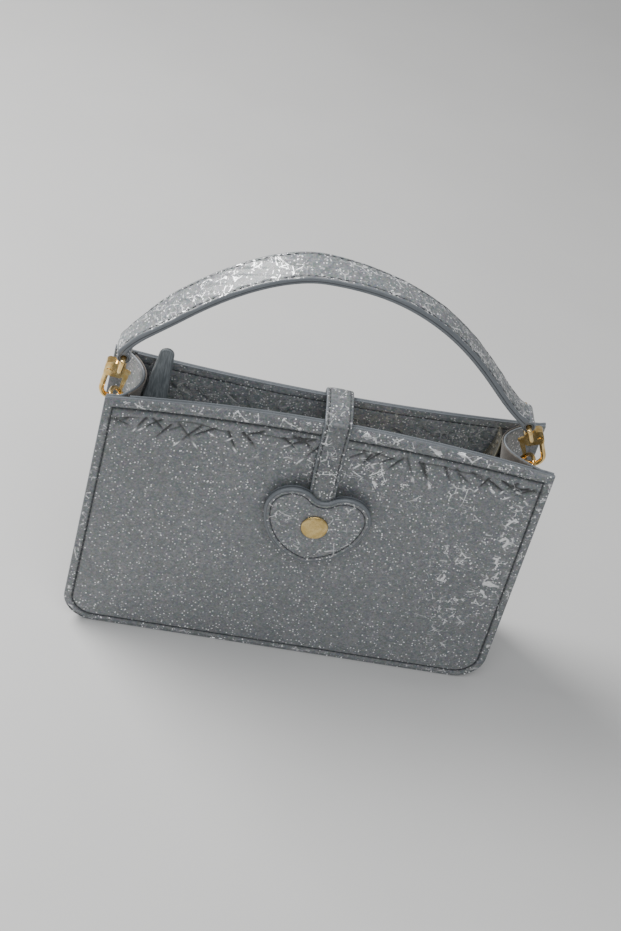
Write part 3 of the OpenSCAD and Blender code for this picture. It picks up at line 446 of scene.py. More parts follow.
def creaseField(x, z, seed, spots):
    # short straight dents, each a bell curve across that tapers along it, and a painted highlight past some
    # ends
    draw, reach = np.random.RandomState(seed), dent["spread"] * halfWidth(rim)
    startX = linspace(-reach, reach, spots) + draw.uniform(-dent["shift"], dent["shift"], spots)
    startZ = rim - draw.uniform(*dent["down"], spots)
    lean = np.radians(draw.uniform(*dent["lean"], spots) * np.where(draw.uniform(0, 1, spots) < 0.5, -1, 1))
    length = draw.uniform(*dent["length"], spots)
    depth = draw.uniform(*dent["depth"], spots) * (draw.uniform(0, 1, spots) > dent["missing"])
    near = (z > rim - dent["lowest"]).ravel()
    px, pz = x.ravel()[near, None] - startX, z.ravel()[near, None] - startZ
    along = (px * sin(lean) - pz * cos(lean)) / length
    across = px * cos(lean) + pz * sin(lean)
    crease = depth * hump(across, dent["half"] * (1.15 - 0.6 * clip(along, 0, 1)))
    crease = crease * plateau(along, -0.12, 1.05, 0.2, 0.5)
    paintedGlint = hump(across, 0.35) * hump(along - 1.12, 0.16) * (draw.uniform(0, 1, spots) > 0.5)
    fields = np.zeros((2, x.size))
    fields[:, near] = crease.max(1), paintedGlint.max(1)
    return fields.reshape(2, *x.shape)


def panelShell(name, side, seed, node):
    # loops from the middle of the face outwards; each point is set in by the sum of the stitches' groove,
    # a rolled and swollen hem, a ridge below it, the dents and slow waves
    (stitchSide, stitchTop), (deepSide, deepTop) = panel["stitchIn"], panel["deep"]
    knots = [0, stitchSide, deepSide], [0, stitchTop, deepTop]
    insets = join([0.6, 1.1, 1.8, 2.6, 3.2, 3.6, 3.85, 4.0, 4.15, 4.4], linspace(4.8, deepSide, 36))
    tops = np.interp(insets, *knots)
    x, z = outlineRings(insets, tops)
    shares, middle = linspace(1, 0.02, 26)[1:, None], rim * panel["middle"]
    faceX = join((x[-1] * shares)[::-1], x[::-1])
    faceZ = join(between(middle, z[-1], shares)[::-1], z[::-1])
    sideDepth = join(np.full(len(shares), deepSide), insets[::-1])[:, None]
    topDepth = join(np.full(len(shares), deepTop), tops[::-1])[:, None]
    fromTop = rim - faceZ
    groove = hump(sideDepth - stitchSide, 0.5)
    onTop = smoothStep((halfWidth(faceZ) - np.abs(faceX) - 1.0) / 3)
    roll = panel["hemRoll"] * clip(1 - topDepth / panel["hem"], 0, 1) ** 2
    swell = panel["hemSwell"] * sin(pi * clip((topDepth - 0.8) / (stitchTop - 1), 0, 1))
    ridgeAt = panel["ridgeDown"] + 0.9 * sin(faceX / 11 + seed) + 0.6 * sin(faceX / 4.3)
    ridge = panel["ridge"] * plateau(fromTop, stitchTop + 1.2, ridgeAt + 0.9, 1.5, 0.9)
    crease, paintedGlint = creaseField(faceX, faceZ, seed, panel["dents"])
    wave = sin(faceX / 29 + seed) * sin(faceZ / 24 + 0.6) + 0.5 * sin(faceX / 13 + faceZ / 17)
    wave = panel["wave"] * wave * smoothStep(sideDepth / 14) * smoothStep(fromTop / 18)
    inside = panel["groove"] * groove + (roll - swell - ridge) * onTop + crease + wave
    # the rounded, painted edge, and the plain inner face
    t = bag["panelThick"]
    edge = array([[0.35, 0.05], [0.12, 0.22], [0.0, 0.55], [0.0, 0.85], [0.14, 1.0], [0.0, 1.15], [0.0, 1.45],
                  [0.12, 1.78], [0.35, 1.95], [0.8, t], [5, t], [10, t], [deepSide, t]])
    edgeX, edgeZ = outlineRings(edge[:, 0], np.interp(edge[:, 0], *knots))
    lowX, lowZ = edgeX[-1] * shares[4::5], between(middle, edgeZ[-1], shares[4::5])
    edgeTop = smoothStep((halfWidth(edgeZ) - np.abs(edgeX) - 0.2) / 3)
    edgeTop = edgeTop * smoothStep(panel["hem"] - (rim - edgeZ))
    edgeInside = edge[:, 1:] + 0.75 * panel["hemRoll"] * edgeTop * clip(1 - edge[:, 1:] / t, 0, 1)
    allX, allZ = join(faceX, edgeX, lowX), join(faceZ, edgeZ, lowZ)
    allInside = join(inside, edgeInside, np.full(lowX.shape, float(t)))
    rings = grid(allX, panelY(side, allX, allZ, allInside), allZ)
    rowFinish = np.zeros(len(rings) - 1, int)
    rowFinish[len(faceX):len(faceX) + 8] = 1
    # marks: painted shade in the grooves and dents, painted highlights, and where the film is crumpled
    # a painted shadow on the front panel beside the strap, above the heart
    paintedStrapShadow = hump(np.abs(faceX - 2) - 10.5, 4) * hump(faceZ - 104, 6) * (side < 0)
    ridgeShade = hump(fromTop - ridgeAt - 0.6, 0.55) * onTop * clip(1 + sin(faceX / 6 + seed), 0, 1)
    # painted shade: the stitch groove, the dents, under the ridge and beside the strap; edgeShade is painted
    # shade in the edge's groove
    shade = clip(groove + crease * 1.9 + 0.85 * ridgeShade + 0.35 * paintedStrapShadow, 0, 1)
    edgeShade = np.where(np.abs(edge[:, 1:] - 1.0) < 0.05, 0.9, 0.0) + 0 * edgeX
    # a painted highlight run down the right side of the front panel
    highlightRunX, highlightRunHalf, *highlightRunSpan = panel["paintedHighlightRun"]
    paintedHighlightRun = hump(allX - highlightRunX, highlightRunHalf) * plateau(allZ, *highlightRunSpan) * (side < 0)
    # painted highlights in the run, the listed spots, and the top and side bands where the edges catch light;
    # the same mark also raises the film's relief
    crumpleAndHighlight = paintedHighlightRun + sum(much * hump(allX - x, wide) * hump(allZ - z, high)
                         for x, wide, z, high, much in panel["crumpleAndHighlightSpots"])
    crumpleAndHighlight[:len(faceX)] += 0.8 * hump(topDepth - 1.8, 1.6) * onTop + 0.7 * hump(sideDepth - 1.6, 1.2)
    marks = {"shade": join(shade, edgeShade, 0 * lowX), "crumpleAndHighlight": crumpleAndHighlight, "paintedHighlightRun": paintedHighlightRun,
             "paintedGlint": join(paintedGlint, 0 * edgeX, 0 * lowX)}
    piece = ringShell(name, rings, [glitterFinish, edgeFinish], rowFinish, 0, marks)
    seat(piece, "bag", "glitter_leather", node)


stitch = {"pitch": 3.1, "length": 2.4, "radius": 0.3, "sink": 0.22, "stations": 5, "around": 6}


def stitchRow(name, runs, body, **changes):
    # beads along each run: a circle that narrows as sqrt(1 - 0.8u^2) and sinks as u^2 at both ends
    size, picked = {**stitch, **changes}, []
    for path, normal in runs:
        run = runAlong(path)
        count = int(run[-1] / size["pitch"])
        at = (np.arange(count) + 0.5) * run[-1] / count
        ahead = pick(path, run, at + 0.3) - pick(path, run, at - 0.3)
        picked.append((pick(path, run, at), ahead, pick(normal, run, at)))
    c, t, n = (join(*column)[:, None, None, :] for column in zip(*picked))
    t = unit(t)
    b = unit(np.cross(t, n))
    n = np.cross(b, t)
    stations, around = size["stations"], size["around"]
    u = linspace(-1, 1, stations)[:, None, None]
    angle = linspace(0, 2 * pi, around, endpoint=False)[:, None]
    r = size["radius"] * sqrt(1 - 0.8 * u ** 2)
    points = c + t * u * size["length"] / 2 - n * size["sink"] * u ** 2
    points = points + r * (cos(angle) * b + sin(angle) * n)
    last = (stations - 1) * around
    ends = [[0, k + 1, k] for k in range(1, around - 1)]
    ends += [[last, last + k, last + k + 1] for k in range(1, around - 1)]
    piece = copies(name, points, gridQuads(stations, around, True), ends, darkThread, 80)
    if body:
        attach(piece, body)
    return piece


def panelStitches(name, side):  # a row on the loop at the stitches' inset, just above the groove's floor
    x, z = (np.append(v, v[0, 0]) for v in outlineRings(*panel["stitchIn"]))
    path = grid(x, panelY(side, x, z, panel["groove"] - 0.16), z)
    stitchRow(name, [(path, np.broadcast_to(yAxis * side, path.shape))], "bag")


panelShell("frontPanel", -1, 5, "front_panel")
panelShell("backPanel", 1, 11, "back_panel")
panelStitches("frontStitches", -1)
panelStitches("backStitches", 1)
print("panels made")

# Facings: strips inside the mouth with a painted top edge

facing = {"columns": 220, "stitchDown": 4.4, "dents": 28, "dentShare": 0.55, "groove": 0.25, "wave": 0.15}


def facingShell(name, side, seed, node):
    # the strip's section: a face that carries dents and a slow wave, a round painted edge at the top
    out, inset = nextLayer + bag["facingThick"], bag["liningInset"]
    z = join(linspace(rim - bag["facingHeight"], rim - 0.5, 44), [rim - 0.22, rim - 0.06, rim])[:, None]
    soften = join(np.zeros(44), [0.06, 0.2, 0.4])[:, None]
    x, down = linspace(-1, 1, facing["columns"]) * (halfWidth(z) - inset), rim - z
    groove = hump(down - facing["stitchDown"], 0.4)
    crease, paintedGlint = creaseField(x, z + 2.5 + 0 * x, seed, facing["dents"])
    wave = facing["wave"] * sin(x / 9 + seed) * smoothStep(down / 6)
    relief = facing["groove"] * groove + facing["dentShare"] * crease + wave
    outer = grid(x, panelY(side, x, z, out - relief - soften), z)
    inner = grid(x, panelY(side, x, z, nextLayer + soften), z)
    # painted shade in the stitch groove and the dents; painted highlights past dent ends and lower down
    marks = {"shade": clip(groove * 0.85 + crease * 0.9, 0, 1), "paintedGlint": paintedGlint,
             "crumpleAndHighlight": 0.5 * hump(down - 14, 8)}
    piece = slabShell(name, outer, inner, [litInnerGlitter, litInnerGlitter, edgeFinish], (0, 3), (0, 0), marks)
    seat(piece, "bag", "glitter_leather", node)
    z = rim - facing["stitchDown"]
    x = linspace(-1, 1, 160) * (halfWidth(z) - inset - 1)
    path = grid(x, panelY(side, x, z, out - 0.12), z)
    stitchRow(name + "Stitches", [(path, np.broadcast_to(-yAxis * side, path.shape))], "bag")


facingShell("frontFacing", -1, 3, "front_facing")
facingShell("backFacing", 1, 8, "back_facing")

# Gussets: between the panels, folded inwards at the mouth

gusset = {"rows": 46, "columns": 61, "fold": 0.45, "sideFolds": 0.35, "liningColumns": 51, "pucker": 0.1}


def webGrid(side, t, z, off):
    # a parabola across the bag that deepens with height, off its outer face along its own normal
    x, deep = halfWidth(z) - bag["flange"], foldDepth(side, z)
    front, back = panelY(-1, x, z, skin), panelY(1, x, z, skin)
    half = (back - front) / 2
    slope = 2 * deep * t / half
    n = sqrt(1 + slope ** 2)
    depth = bag["flange"] + deep * (1 - t * t) + off / n
    return grid(side * (halfWidth(z) - depth), (front + back) / 2 - half * t - off * slope / n, z)


def flangeGrid(side, panelSide, depth, z, off):  # flat along the panel's inner face
    x = halfWidth(z) - depth
    return grid(side * x, panelY(panelSide, x, z, skin - off), z)


def gussetRows(corner):  # heights up the gusset, and how far its faces draw in at the rounded top
    z = join(linspace(joinHeight, rim - 0.6, gusset["rows"]), rim - array([0.28, 0.08, 0]))
    return z[:, None], join(np.zeros(gusset["rows"]), corner)[:, None]


def gussetShell(name, side, node):
    # flange, folded web and flange in one strip, with a soft crease down the web's middle
    z, soften = gussetRows([0.1, 0.28, 0.5])
    t, depth = linspace(1, -1, gusset["columns"])[None, :], array([[0.3, 1.2, 2.5, 3.8, 5.1]])
    outer, inner = (join(flangeGrid(side, -1, depth, z, off), webGrid(side, t, z, off),
                         flangeGrid(side, 1, depth[:, ::-1], z, off), axis=1)
                    for off in (soften, gussetThick - soften))
    # painted shade along the flange's stitch line; along the folds the mark gives film relief and painted
    # highlights
    shade = 0.5 * hump(depth - 4, 0.5)
    ripple = gusset["fold"] * hump(t, 0.22) + gusset["sideFolds"] * hump(np.abs(t) - 0.75, 0.2)
    marks = {"shade": join(shade, 0 * t, shade[:, ::-1], axis=1),
             "crumpleAndHighlight": join(0 * depth, ripple, 0 * depth, axis=1)}
    piece = slabShell(name, outer, inner, [glitterFinish, liningCloth, edgeFinish], (0, 3), (0, 0), marks)
    seat(piece, "bag", "glitter_leather", node)


def gussetLining(name, side, node):
    # a narrower web inside the gusset's, puckered by the product of two sines
    z, soften = gussetRows([0.05, 0.15, 0.25])
    reach = between(0.97, 0.83, smoothStep(2 * foldDepth(side, z) / bag["rightFold"]))
    t, near = reach * linspace(1, -1, gusset["liningColumns"]), gussetThick + gap
    far = near + bag["liningThick"] + gusset["pucker"] * sin(z / 3.1 + 5 * t) * sin(z / 9)
    faces = (webGrid(side, t, z, off) for off in (near + soften, far - soften))
    seat(slabShell(name, *faces, [liningCloth] * 3), "bag", "lining", node)


gussetShell("gussetLeft", -1, "gusset_left")
gussetShell("gussetRight", 1, "gusset_right")
gussetLining("liningLeft", -1, "lining_left")
gussetLining("liningRight", 1, "lining_right")
print("gussets made")

# Lining of the panels and the base, and the base strip

lining = {"rows": 60, "columns": 120, "slack": 0.28, "baseAt": (9.0, 9.6), "basePucker": 0.25}
strip = {"side": 14, "corner": 20, "floor": 60, "web": 22}


def outlineHalf(z, inset):  # half the width at a height, with the round bottom corners
    r = bag["cornerRadius"] - inset
    up = np.minimum(r, z - inset)
    return halfWidth(z) - inset - r + sqrt(np.maximum(0, r * r - (r - up) ** 2))


def panelLining(name, side, node):
    # a sheet that follows its panel, with slack folds: a sum of two sines that fade at the edges
    inset, top = bag["liningInset"], rim - bag["facingHeight"] - gap
    z = (inset + (top - inset) * linspace(0, 1, lining["rows"]) ** 1.4)[:, None]
    s = linspace(-1, 1, lining["columns"])
    x = s * outlineHalf(z, inset)
    slack = lining["slack"] * (1 - s ** 2) * smoothStep((top - z) / 12)
    slack = slack * (sin(x / 8 + z / 15) + sin(x / 17 - z / 11))
    near, far = nextLayer, nextLayer + bag["liningThick"] + np.abs(slack)
    inner, outer = (grid(x, panelY(side, x, z, inside), z) for inside in (far, near))
    seat(slabShell(name, inner, outer, [liningCloth] * 3), "bag", "lining", node)


def stripGrid(depth, across, off):
    # the strip's places: depth inside the outline, and across from the front panel to the back one
    r = bag["cornerRadius"]
    sideZ = between(joinHeight, r, linspace(0, 1, strip["side"])[:, None]) + 0 * depth
    floor = linspace(-1, 1, strip["floor"])[1:-1, None]
    sideX, corner = halfWidth(sideZ) - depth, roundCorner(depth, linspace(0, 1, strip["corner"])[1:, None])
    x = join(-sideX, -corner[0], floor * (halfWidth(0) - r) + 0 * depth, corner[0][::-1], sideX[::-1])
    z = join(sideZ, corner[1], depth + 0 * floor, corner[1][::-1], sideZ[::-1])
    front, back = panelY(-1, x, z, skin - off), panelY(1, x, z, skin - off)
    return grid(x, between(front, back, across), z)


def baseStrip():  # a web under the bag with a flange along each panel, the thickness off its inner face
    web, flange = linspace(0.06, 0.94, strip["web"]), [0.4, 2, 4, 5.3, 5.85]
    depth = join(flange, np.full(len(web), 6.0), flange[::-1])[None, :]
    across = join([0, 0, 0, 0, 0.015], web, [0.985, 1, 1, 1, 1])[None, :]
    inner = stripGrid(depth + gussetThick * (across > 0) * (across < 1), across, gussetThick)
    finishes = [glitterFinish, liningCloth, edgeFinish]
    piece = slabShell("baseStrip", stripGrid(depth, across, 0), inner, finishes, (0, 0), (1, 1))
    seat(piece, "bag", "glitter_leather", "base_strip")


def baseLining():  # a sheet above the strip, between the panels' linings, with one long pucker
    across = linspace(0, 1, 16)[None, :]
    off = gussetThick - 2 * bag["liningThick"] - gap
    low, high = lining["baseAt"]
    pucker = lining["basePucker"] * sin(across * 9) * sin(across * pi)
    faces = stripGrid(high + pucker, across, off), stripGrid(low + 0 * across, across, off)
    seat(slabShell("liningBase", *faces, [liningCloth] * 3), "bag", "lining", "lining_base")


panelLining("liningFront", -1, "lining_front")
panelLining("liningBack", 1, "lining_back")
baseStrip()
baseLining()
print("lining and base made")

# The zip

zipper = {"height": 112.6, "y": 0.75, "left": -73.8, "right": 66, "partTo": 6, "ramp": 34, "hang": 68,
          "tape": 0.6, "pitch": 2.6, "chainGap": 0.5, "toothLong": 1.15, "toothWide": 2.5, "toothThick": 2,
          "toothGap": 0.25}
tooth = {"along": (0, 0.42, 0.62, 0.86, 1.0), "wide": (1, 0.72, 1.0, 1.0, 0.7),
         "thick": (1, 0.72, 0.86, 0.8, 0.55)}
tail = {"wide": 15, "tip": 9, "rise": 22, "run": 12, "lean": 7.3, "teeth": 11, "toothBack": 1.7}


def tapeAngle(x):  # the tape hangs where the zip is open, and lies flat at both ends
    left, right, ramp = (zipper[key] for key in ("left", "partTo", "ramp"))
    return np.radians(zipper["hang"]) * plateau(x, left, right, ramp, ramp)


def tapePoint(side, x, across, lift):
    # from its root at the facing towards the bag's middle, turned down by the angle, lift along its normal
    root = panelY(side, x, zipper["height"], nextLayer + gap + bag["facingThick"] + zipper["tape"] / 2)
    reach = np.abs(zipper["y"] - root) - zipper["chainGap"] / 2 - zipper["toothWide"] - zipper["toothGap"]
    a, w = tapeAngle(x), across * reach
    return grid(x, root - side * (w * cos(a) + lift * sin(a)), zipper["height"] - w * sin(a) + lift * cos(a))


def teethPiece(name, origins, outs, ups, longs, *stands):
    # clamp, waist, shoulder and head: small rectangles along each tooth, set in its own place and turn
    o, a, u, l = (v[:, None, None, :] for v in (origins, outs, ups, longs))
    along, wide, thick = (array(tooth[key])[:, None, None] for key in ("along", "wide", "thick"))
    w = wide / 2 * array([-1, 1, 1, -1])[:, None] * zipper["toothLong"]
    h = thick / 2 * array([-1, -1, 1, 1])[:, None] * zipper["toothThick"]
    points = o + a * along * zipper["toothWide"] + l * w + u * h
    sections = len(along)
    last = 4 * sections - 4
    ends = [[3, 2, 1, 0], [last, last + 1, last + 2, last + 3]]
    quads = join(gridQuads(sections, 4, True).reshape(-1, 4), ends)
    seat(copies(name, points, quads, (), toothMetal, 30), "bag", "gold", *stands)


def zipSide(name, side, tapeNode, teethNode):  # a tape with a bead along its edge, and teeth that clamp it
    z = zipper
    x = linspace(z["left"], z["right"], 140)[:, None]
    across = join(linspace(0, 0.86, 10), [0.9, 0.94, 0.98, 1.0])[None, :]
    bead = z["tape"] / 2 + 0.22 * plateau(across, 0.88, 1.01, 0.08, 0.03)
    faces = (tapePoint(side, x, across, lift) for lift in (bead, -bead))
    seat(slabShell(name + "Tape", *faces, [tapeCloth] * 3), "bag", "zip_tape", tapeNode)
    count = int((z["right"] - z["left"]) / z["pitch"]) - 1
    at = z["left"] + (np.arange(count) + (1 if side > 0 else 0.5)) * z["pitch"]
    a = tapeAngle(at)
    out, up = grid(0, -side * cos(a), -sin(a)), grid(0, -side * sin(a), cos(a))
    origins = tapePoint(side, at, 1, 0) + out * z["toothGap"]
    teethPiece(name + "Teeth", origins, out, up, np.broadcast_to(xAxis, out.shape), teethNode)


def zipTail():
    # the closed end of the zip turns up: a quarter of an ellipse that narrows and leans back
    def curve(s, lift, off=0):  # s runs up the tail, lift stands off its sheet, off runs across it
        a = s * pi / 2
        return grid(zipper["right"] + (tail["run"] - lift) * sin(a), zipper["y"] + tail["lean"] * s + off,
                    zipper["height"] + tail["rise"] * (1 - cos(a)) + lift * cos(a))
    s = linspace(0, 1, 44)[:, None]
    across = array([0, 0.1, 0.16, 0.22, 0.3, 0.5, 0.8, 0.96, 1])
    across = join(-across[:0:-1], across)
    bead = zipper["tape"] / 2 + 0.25 * hump(np.abs(across) - 0.19, 0.05) - 0.12 * hump(across, 0.07)
    off = across * between(tail["wide"], tail["tip"], s) / 2
    faces = (curve(s, lift, off) + xAxis * gap for lift in (bead, -bead))
    marks = {"paleEdge": hump(np.abs(across) - 0.97, 0.06)}
    seat(slabShell("zipTail", *faces, [tapeCloth] * 3, marks=marks), "bag", "zip_tape", "zip_tail")
    s = linspace(0.05, 0.97, tail["teeth"])
    a = s * pi / 2
    tangent = unit(grid(tail["run"] * cos(a), tail["lean"] * 2 / pi, tail["rise"] * sin(a)))
    up = unit(np.cross(tangent, yAxis))
    out = np.cross(up, tangent) * np.where(np.arange(tail["teeth"]) % 2, 1, -1)[:, None]
    teethPiece("tailTeeth", curve(s, 0) - out * tail["toothBack"], out, up, tangent)


zipSide("zipFront", -1, "zip_tape_front", "zip_teeth_front")
zipSide("zipBack", 1, "zip_tape_back", "zip_teeth_back")
zipTail()
print("zip made")


# Flat pieces cut to an outline: the heart and the leaf on the zip's end

def padRings(loop, normals, steps, faces, centre):
    # the outline moved in by each step's inset at its level, then shrunk to the centre by each face's shares
    def face(ring, shares):  # each share is how far out from the centre, with a small lift
        share, lift = array(shares).T[:, :, None]
        x, y = (between(middle, ring[:, k], share) for k, middle in enumerate(centre))
        return grid(x, y, ring[:, 2] + lift)
    inset, level = array(steps).T[:, :, None]
    rings = grid(loop[:, 0] - inset * normals[:, 0], loop[:, 1] - inset * normals[:, 1], level)
    return join(face(rings[0], faces[0])[::-1], rings, face(rings[-1], faces[1]))


heart = {"snapHeight": 85.5, "x": 2, "lobe": 12.598, "lobeAt": (12.202, 5.986), "tip": 7.936, "tipAt": -13.88,
         "side": 29.76, "cleft": 5.952, "turn": 3, "back": 1.7, "front": 5.45, "stitchIn": 2.9,
         "stitch": {"length": 2.2, "radius": 0.25}, "crumpleAndHighlight": 0.35,
         "face": ((0.9, 0.03), (0.78, 0.06), (0.64, 0.07), (0.5, 0.05), (0.38, 0), (0.3, -0.04), (0.2, -0.05),
                  (0.08, -0.05)), "underside": ((0.7, 0), (0.4, 0), (0.1, 0))}
heartY, above, below = (float(panelY(-1, heart["x"], heart["snapHeight"] + off, 0)) for off in (0, 9, -9))
heartTilt = np.arctan2(above - below, 18)


def onHeart(points):  # from the heart's plane to the bag: turned about the snap, then tilted to the panel
    a, turn = heartTilt, np.radians(heart["turn"])
    px, py, v = np.moveaxis(points, -1, 0)
    u = py * cos(turn) - px * sin(turn)
    return grid(heart["x"] + px * cos(turn) + py * sin(turn), heartY + u * sin(a) - v * cos(a),
                heart["snapHeight"] + u * cos(a) + v * sin(a))


def heartLoop():
    # arcs that touch: a hollow cleft, a lobe, a flat side and the tip. The side's centre is where circles
    # of side less lobe and side less tip, round the centres of those two, cross
    lobe, tip, r = array(heart["lobeAt"]), array([0, heart["tipAt"]]), heart["lobe"]
    cleft = array([0, lobe[1] + sqrt((r + heart["cleft"]) ** 2 - lobe[0] ** 2)])
    distance = np.linalg.norm(tip - lobe)
    along, near, far = (tip - lobe) / distance, heart["side"] - r, heart["side"] - heart["tip"]
    run = (near ** 2 - far ** 2 + distance ** 2) / (2 * distance)
    side = lobe + run * along + sqrt(near ** 2 - run ** 2) * array([along[1], -along[0]])
    bends = [np.arctan2(d[1], d[0]) for d in (cleft - lobe, lobe - side, tip - side)]
    ends = [pi / 2, *bends, -pi / 2]
    arcs = ((cleft, -heart["cleft"], 10), (lobe, r, 62), (side, heart["side"], 30), (tip, heart["tip"], 8))
    turns = [linspace(ends[k], ends[k + 1], arc[2])[k > 0:] for k, arc in enumerate(arcs)]
    right = join(*(arc[0] + arc[1] * grid(cos(a), sin(a)) for arc, a in zip(arcs, turns)))
    turn = join(*turns)
    turn = join(turn, (pi - turn)[-2:0:-1])
    return join(right, (right * [-1, 1])[-2:0:-1]), grid(cos(turn), sin(turn))


def heartTab():
    # rings over the tab: the shrunk face, the stitches' channel, a raised rim, the painted edge with a
    # groove between the two layers, and the underside; each step is inset, level and how much painted shade
    # it carries
    loop, normals = heartLoop()
    b, f = heart["back"], heart["front"]
    mid = (b + f) / 2
    steps = array([
        (5.2, f + 0.02, 0), (4.2, f, 0), (3.35, f - 0.03, .1), (3.05, f - 0.2, .7), (2.9, f - 0.26, .9),
        (2.75, f - 0.2, .7), (2.4, f + 0.05, .1), (2.1, f + 0.12, 0), (1.7, f + 0.16, 0), (1.4, f + 0.12, .1),
        (1.2, f, .5), (1.05, f + 0.1, .1), (0.75, f + 0.08, 0), (0.4, f - 0.1, 0), (0.15, f - 0.38, 0),
        (0.02, f - 0.75, 0), (0, f - 1.2, .1), (0.14, mid + 0.12, .8), (0.14, mid - 0.12, .8),
        (0, b + 1.3, .1), (0.02, b + 0.8, 0), (0.2, b + 0.35, 0), (0.6, b + 0.08, 0), (1.4, b, 0), (3, b, 0),
        (5.6, b, 0)])
    faces = heart["face"], heart["underside"]
    rings = onHeart(padRings(loop, normals, steps[:, :2], faces, (0, 1)))
    shade = join(np.zeros(len(faces[0])), steps[:, 2], np.zeros(len(faces[1])))[:, None]
    rowFinish = np.zeros(len(rings) - 1, int)
    rowFinish[len(faces[0]) + 9:len(faces[0]) + 22] = 1
    marks = {"shade": shade, "crumpleAndHighlight": heart["crumpleAndHighlight"]}
    piece = ringShell("heartTab", rings, [glitterFinish, edgeFinish], rowFinish, 0, marks)
    seat(piece, "flap", "glitter_leather", "heart_front", "heart_back")
    at = loop - heart["stitchIn"] * normals
    at = join(at, at[:1])
    path = onHeart(grid(at[:, 0], at[:, 1], f - 0.12))
    out = onHeart(array([0, 0, 1])) - onHeart(array([0, 0, 0]))
    stitchRow("heartStitches", [(path, np.broadcast_to(out, path.shape))], "flap", **heart["stitch"])


def snapCap():
    # a low dome turned about the snap's axis: height = rim + dome * (1 - (r / R)^2), with a rolled rim
    r = array([5.7, 6.05, 6.25, 6.22, 6.0, 5.7, 5.2, 4.4, 3.4, 2.3, 1.2, 0.3])[:, None]
    h = array([0.02, 0.05, 0.35, 0.75, 1.02, 1.13, 1.2, 1.29, 1.37, 1.43, 1.47, 1.48])[:, None]
    a = linspace(0, 2 * pi, 96, endpoint=False)
    rings = onHeart(grid(r * cos(a), r * sin(a), 5.6 + h))
    seat(ringShell("snapCap", rings, [satinGold]), "flap", "gold", "snap_cap")


heartTab()
snapCap()
print("heart made")

# Straps: a belt's section carried along a line


def beltSection(half, edge, topColumns):
    # a rectangle with round corners of radius edge and a groove halfway up each side
    top = linspace(edge - half, half - edge, topColumns)
    a = np.radians([68, 45, 22, 0])
    cornerW, cornerT = half - edge + edge * cos(a), edge * sin(a)
    w = join(cornerW, [half, half - 0.24, half], cornerW[::-1])
    sign = join(np.ones(4), [0, 0, 0], -np.ones(4))
    add = join(cornerT, [0.3, 0, -0.3], -cornerT[::-1])
    n, m = len(top), len(w)
    flat = np.ones(n)
    isEdge, groove = np.zeros(2 * (n + m), int), np.zeros(2 * (n + m))
    isEdge[n:n + m - 1] = isEdge[2 * n + m:2 * n + 2 * m - 1] = 1
    groove[[n + 5, 2 * n + m + 5]] = 1
    return (join(top, w, top[::-1], -w[::-1]), join(flat, sign, -flat, sign[::-1]),
            join(flat * edge, add, -flat * edge, add[::-1]), isEdge, groove)


strap = {"x": 2, "half": 6.25, "thick": 1.8, "edge": 0.75, "bend": 0.6, "rimGap": 0.35, "arch": 1.2,
         "anchor": 38, "crown": 0.28, "ripple": 0.12, "seam": 0.22, "narrowed": (0.035, 70, 40),
         "stitchIn": 1.5, "stitch": {"length": 2.1, "radius": 0.24}, "sewn": (8, 222),
         "fold": 12.03, "foldReach": (1.1, -1.3), "foldHeight": 139,
         "lean": ((0, 40, 60, 86, 130), (0, 0, -0.7, -0.5, 1.6))}


def strapPath():
    # under side of the strap as places (y, z): up the back panel, over both rims, down to the heart
    s, top = strap, rim - strap["bend"]
    backRim, frontRim = panelY(1, s["x"], rim, 0), panelY(-1, s["x"], rim, 0)
    z = linspace(top - s["anchor"], top - 1, 30)
    a, r = linspace(0, pi / 2, 10), s["bend"] + s["rimGap"]
    first = grid(panelY(1, s["x"], z, -gap), z)
    turn = grid(backRim - s["bend"] + r * cos(a), top + r * sin(a))
    t = linspace(0, 1, 40)[1:-1]
    over = grid(between(turn[-1, 0], frontRim + s["bend"], t), rim + s["rimGap"] + s["arch"] * sin(pi * t))
    down = grid(frontRim + s["bend"] - r * sin(a), top + r * cos(a))
    k = linspace(0, 1, 40)[1:]
    z = between(top, heart["snapHeight"] + s["half"] + s["thick"], k)
    plane = heartY - heart["back"] + (z - heart["snapHeight"]) * np.tan(heartTilt)
    last = grid(between(frontRim - s["rimGap"], plane, smoothStep(1.5 * k)), z)
    return join(first, turn, over, down, last)


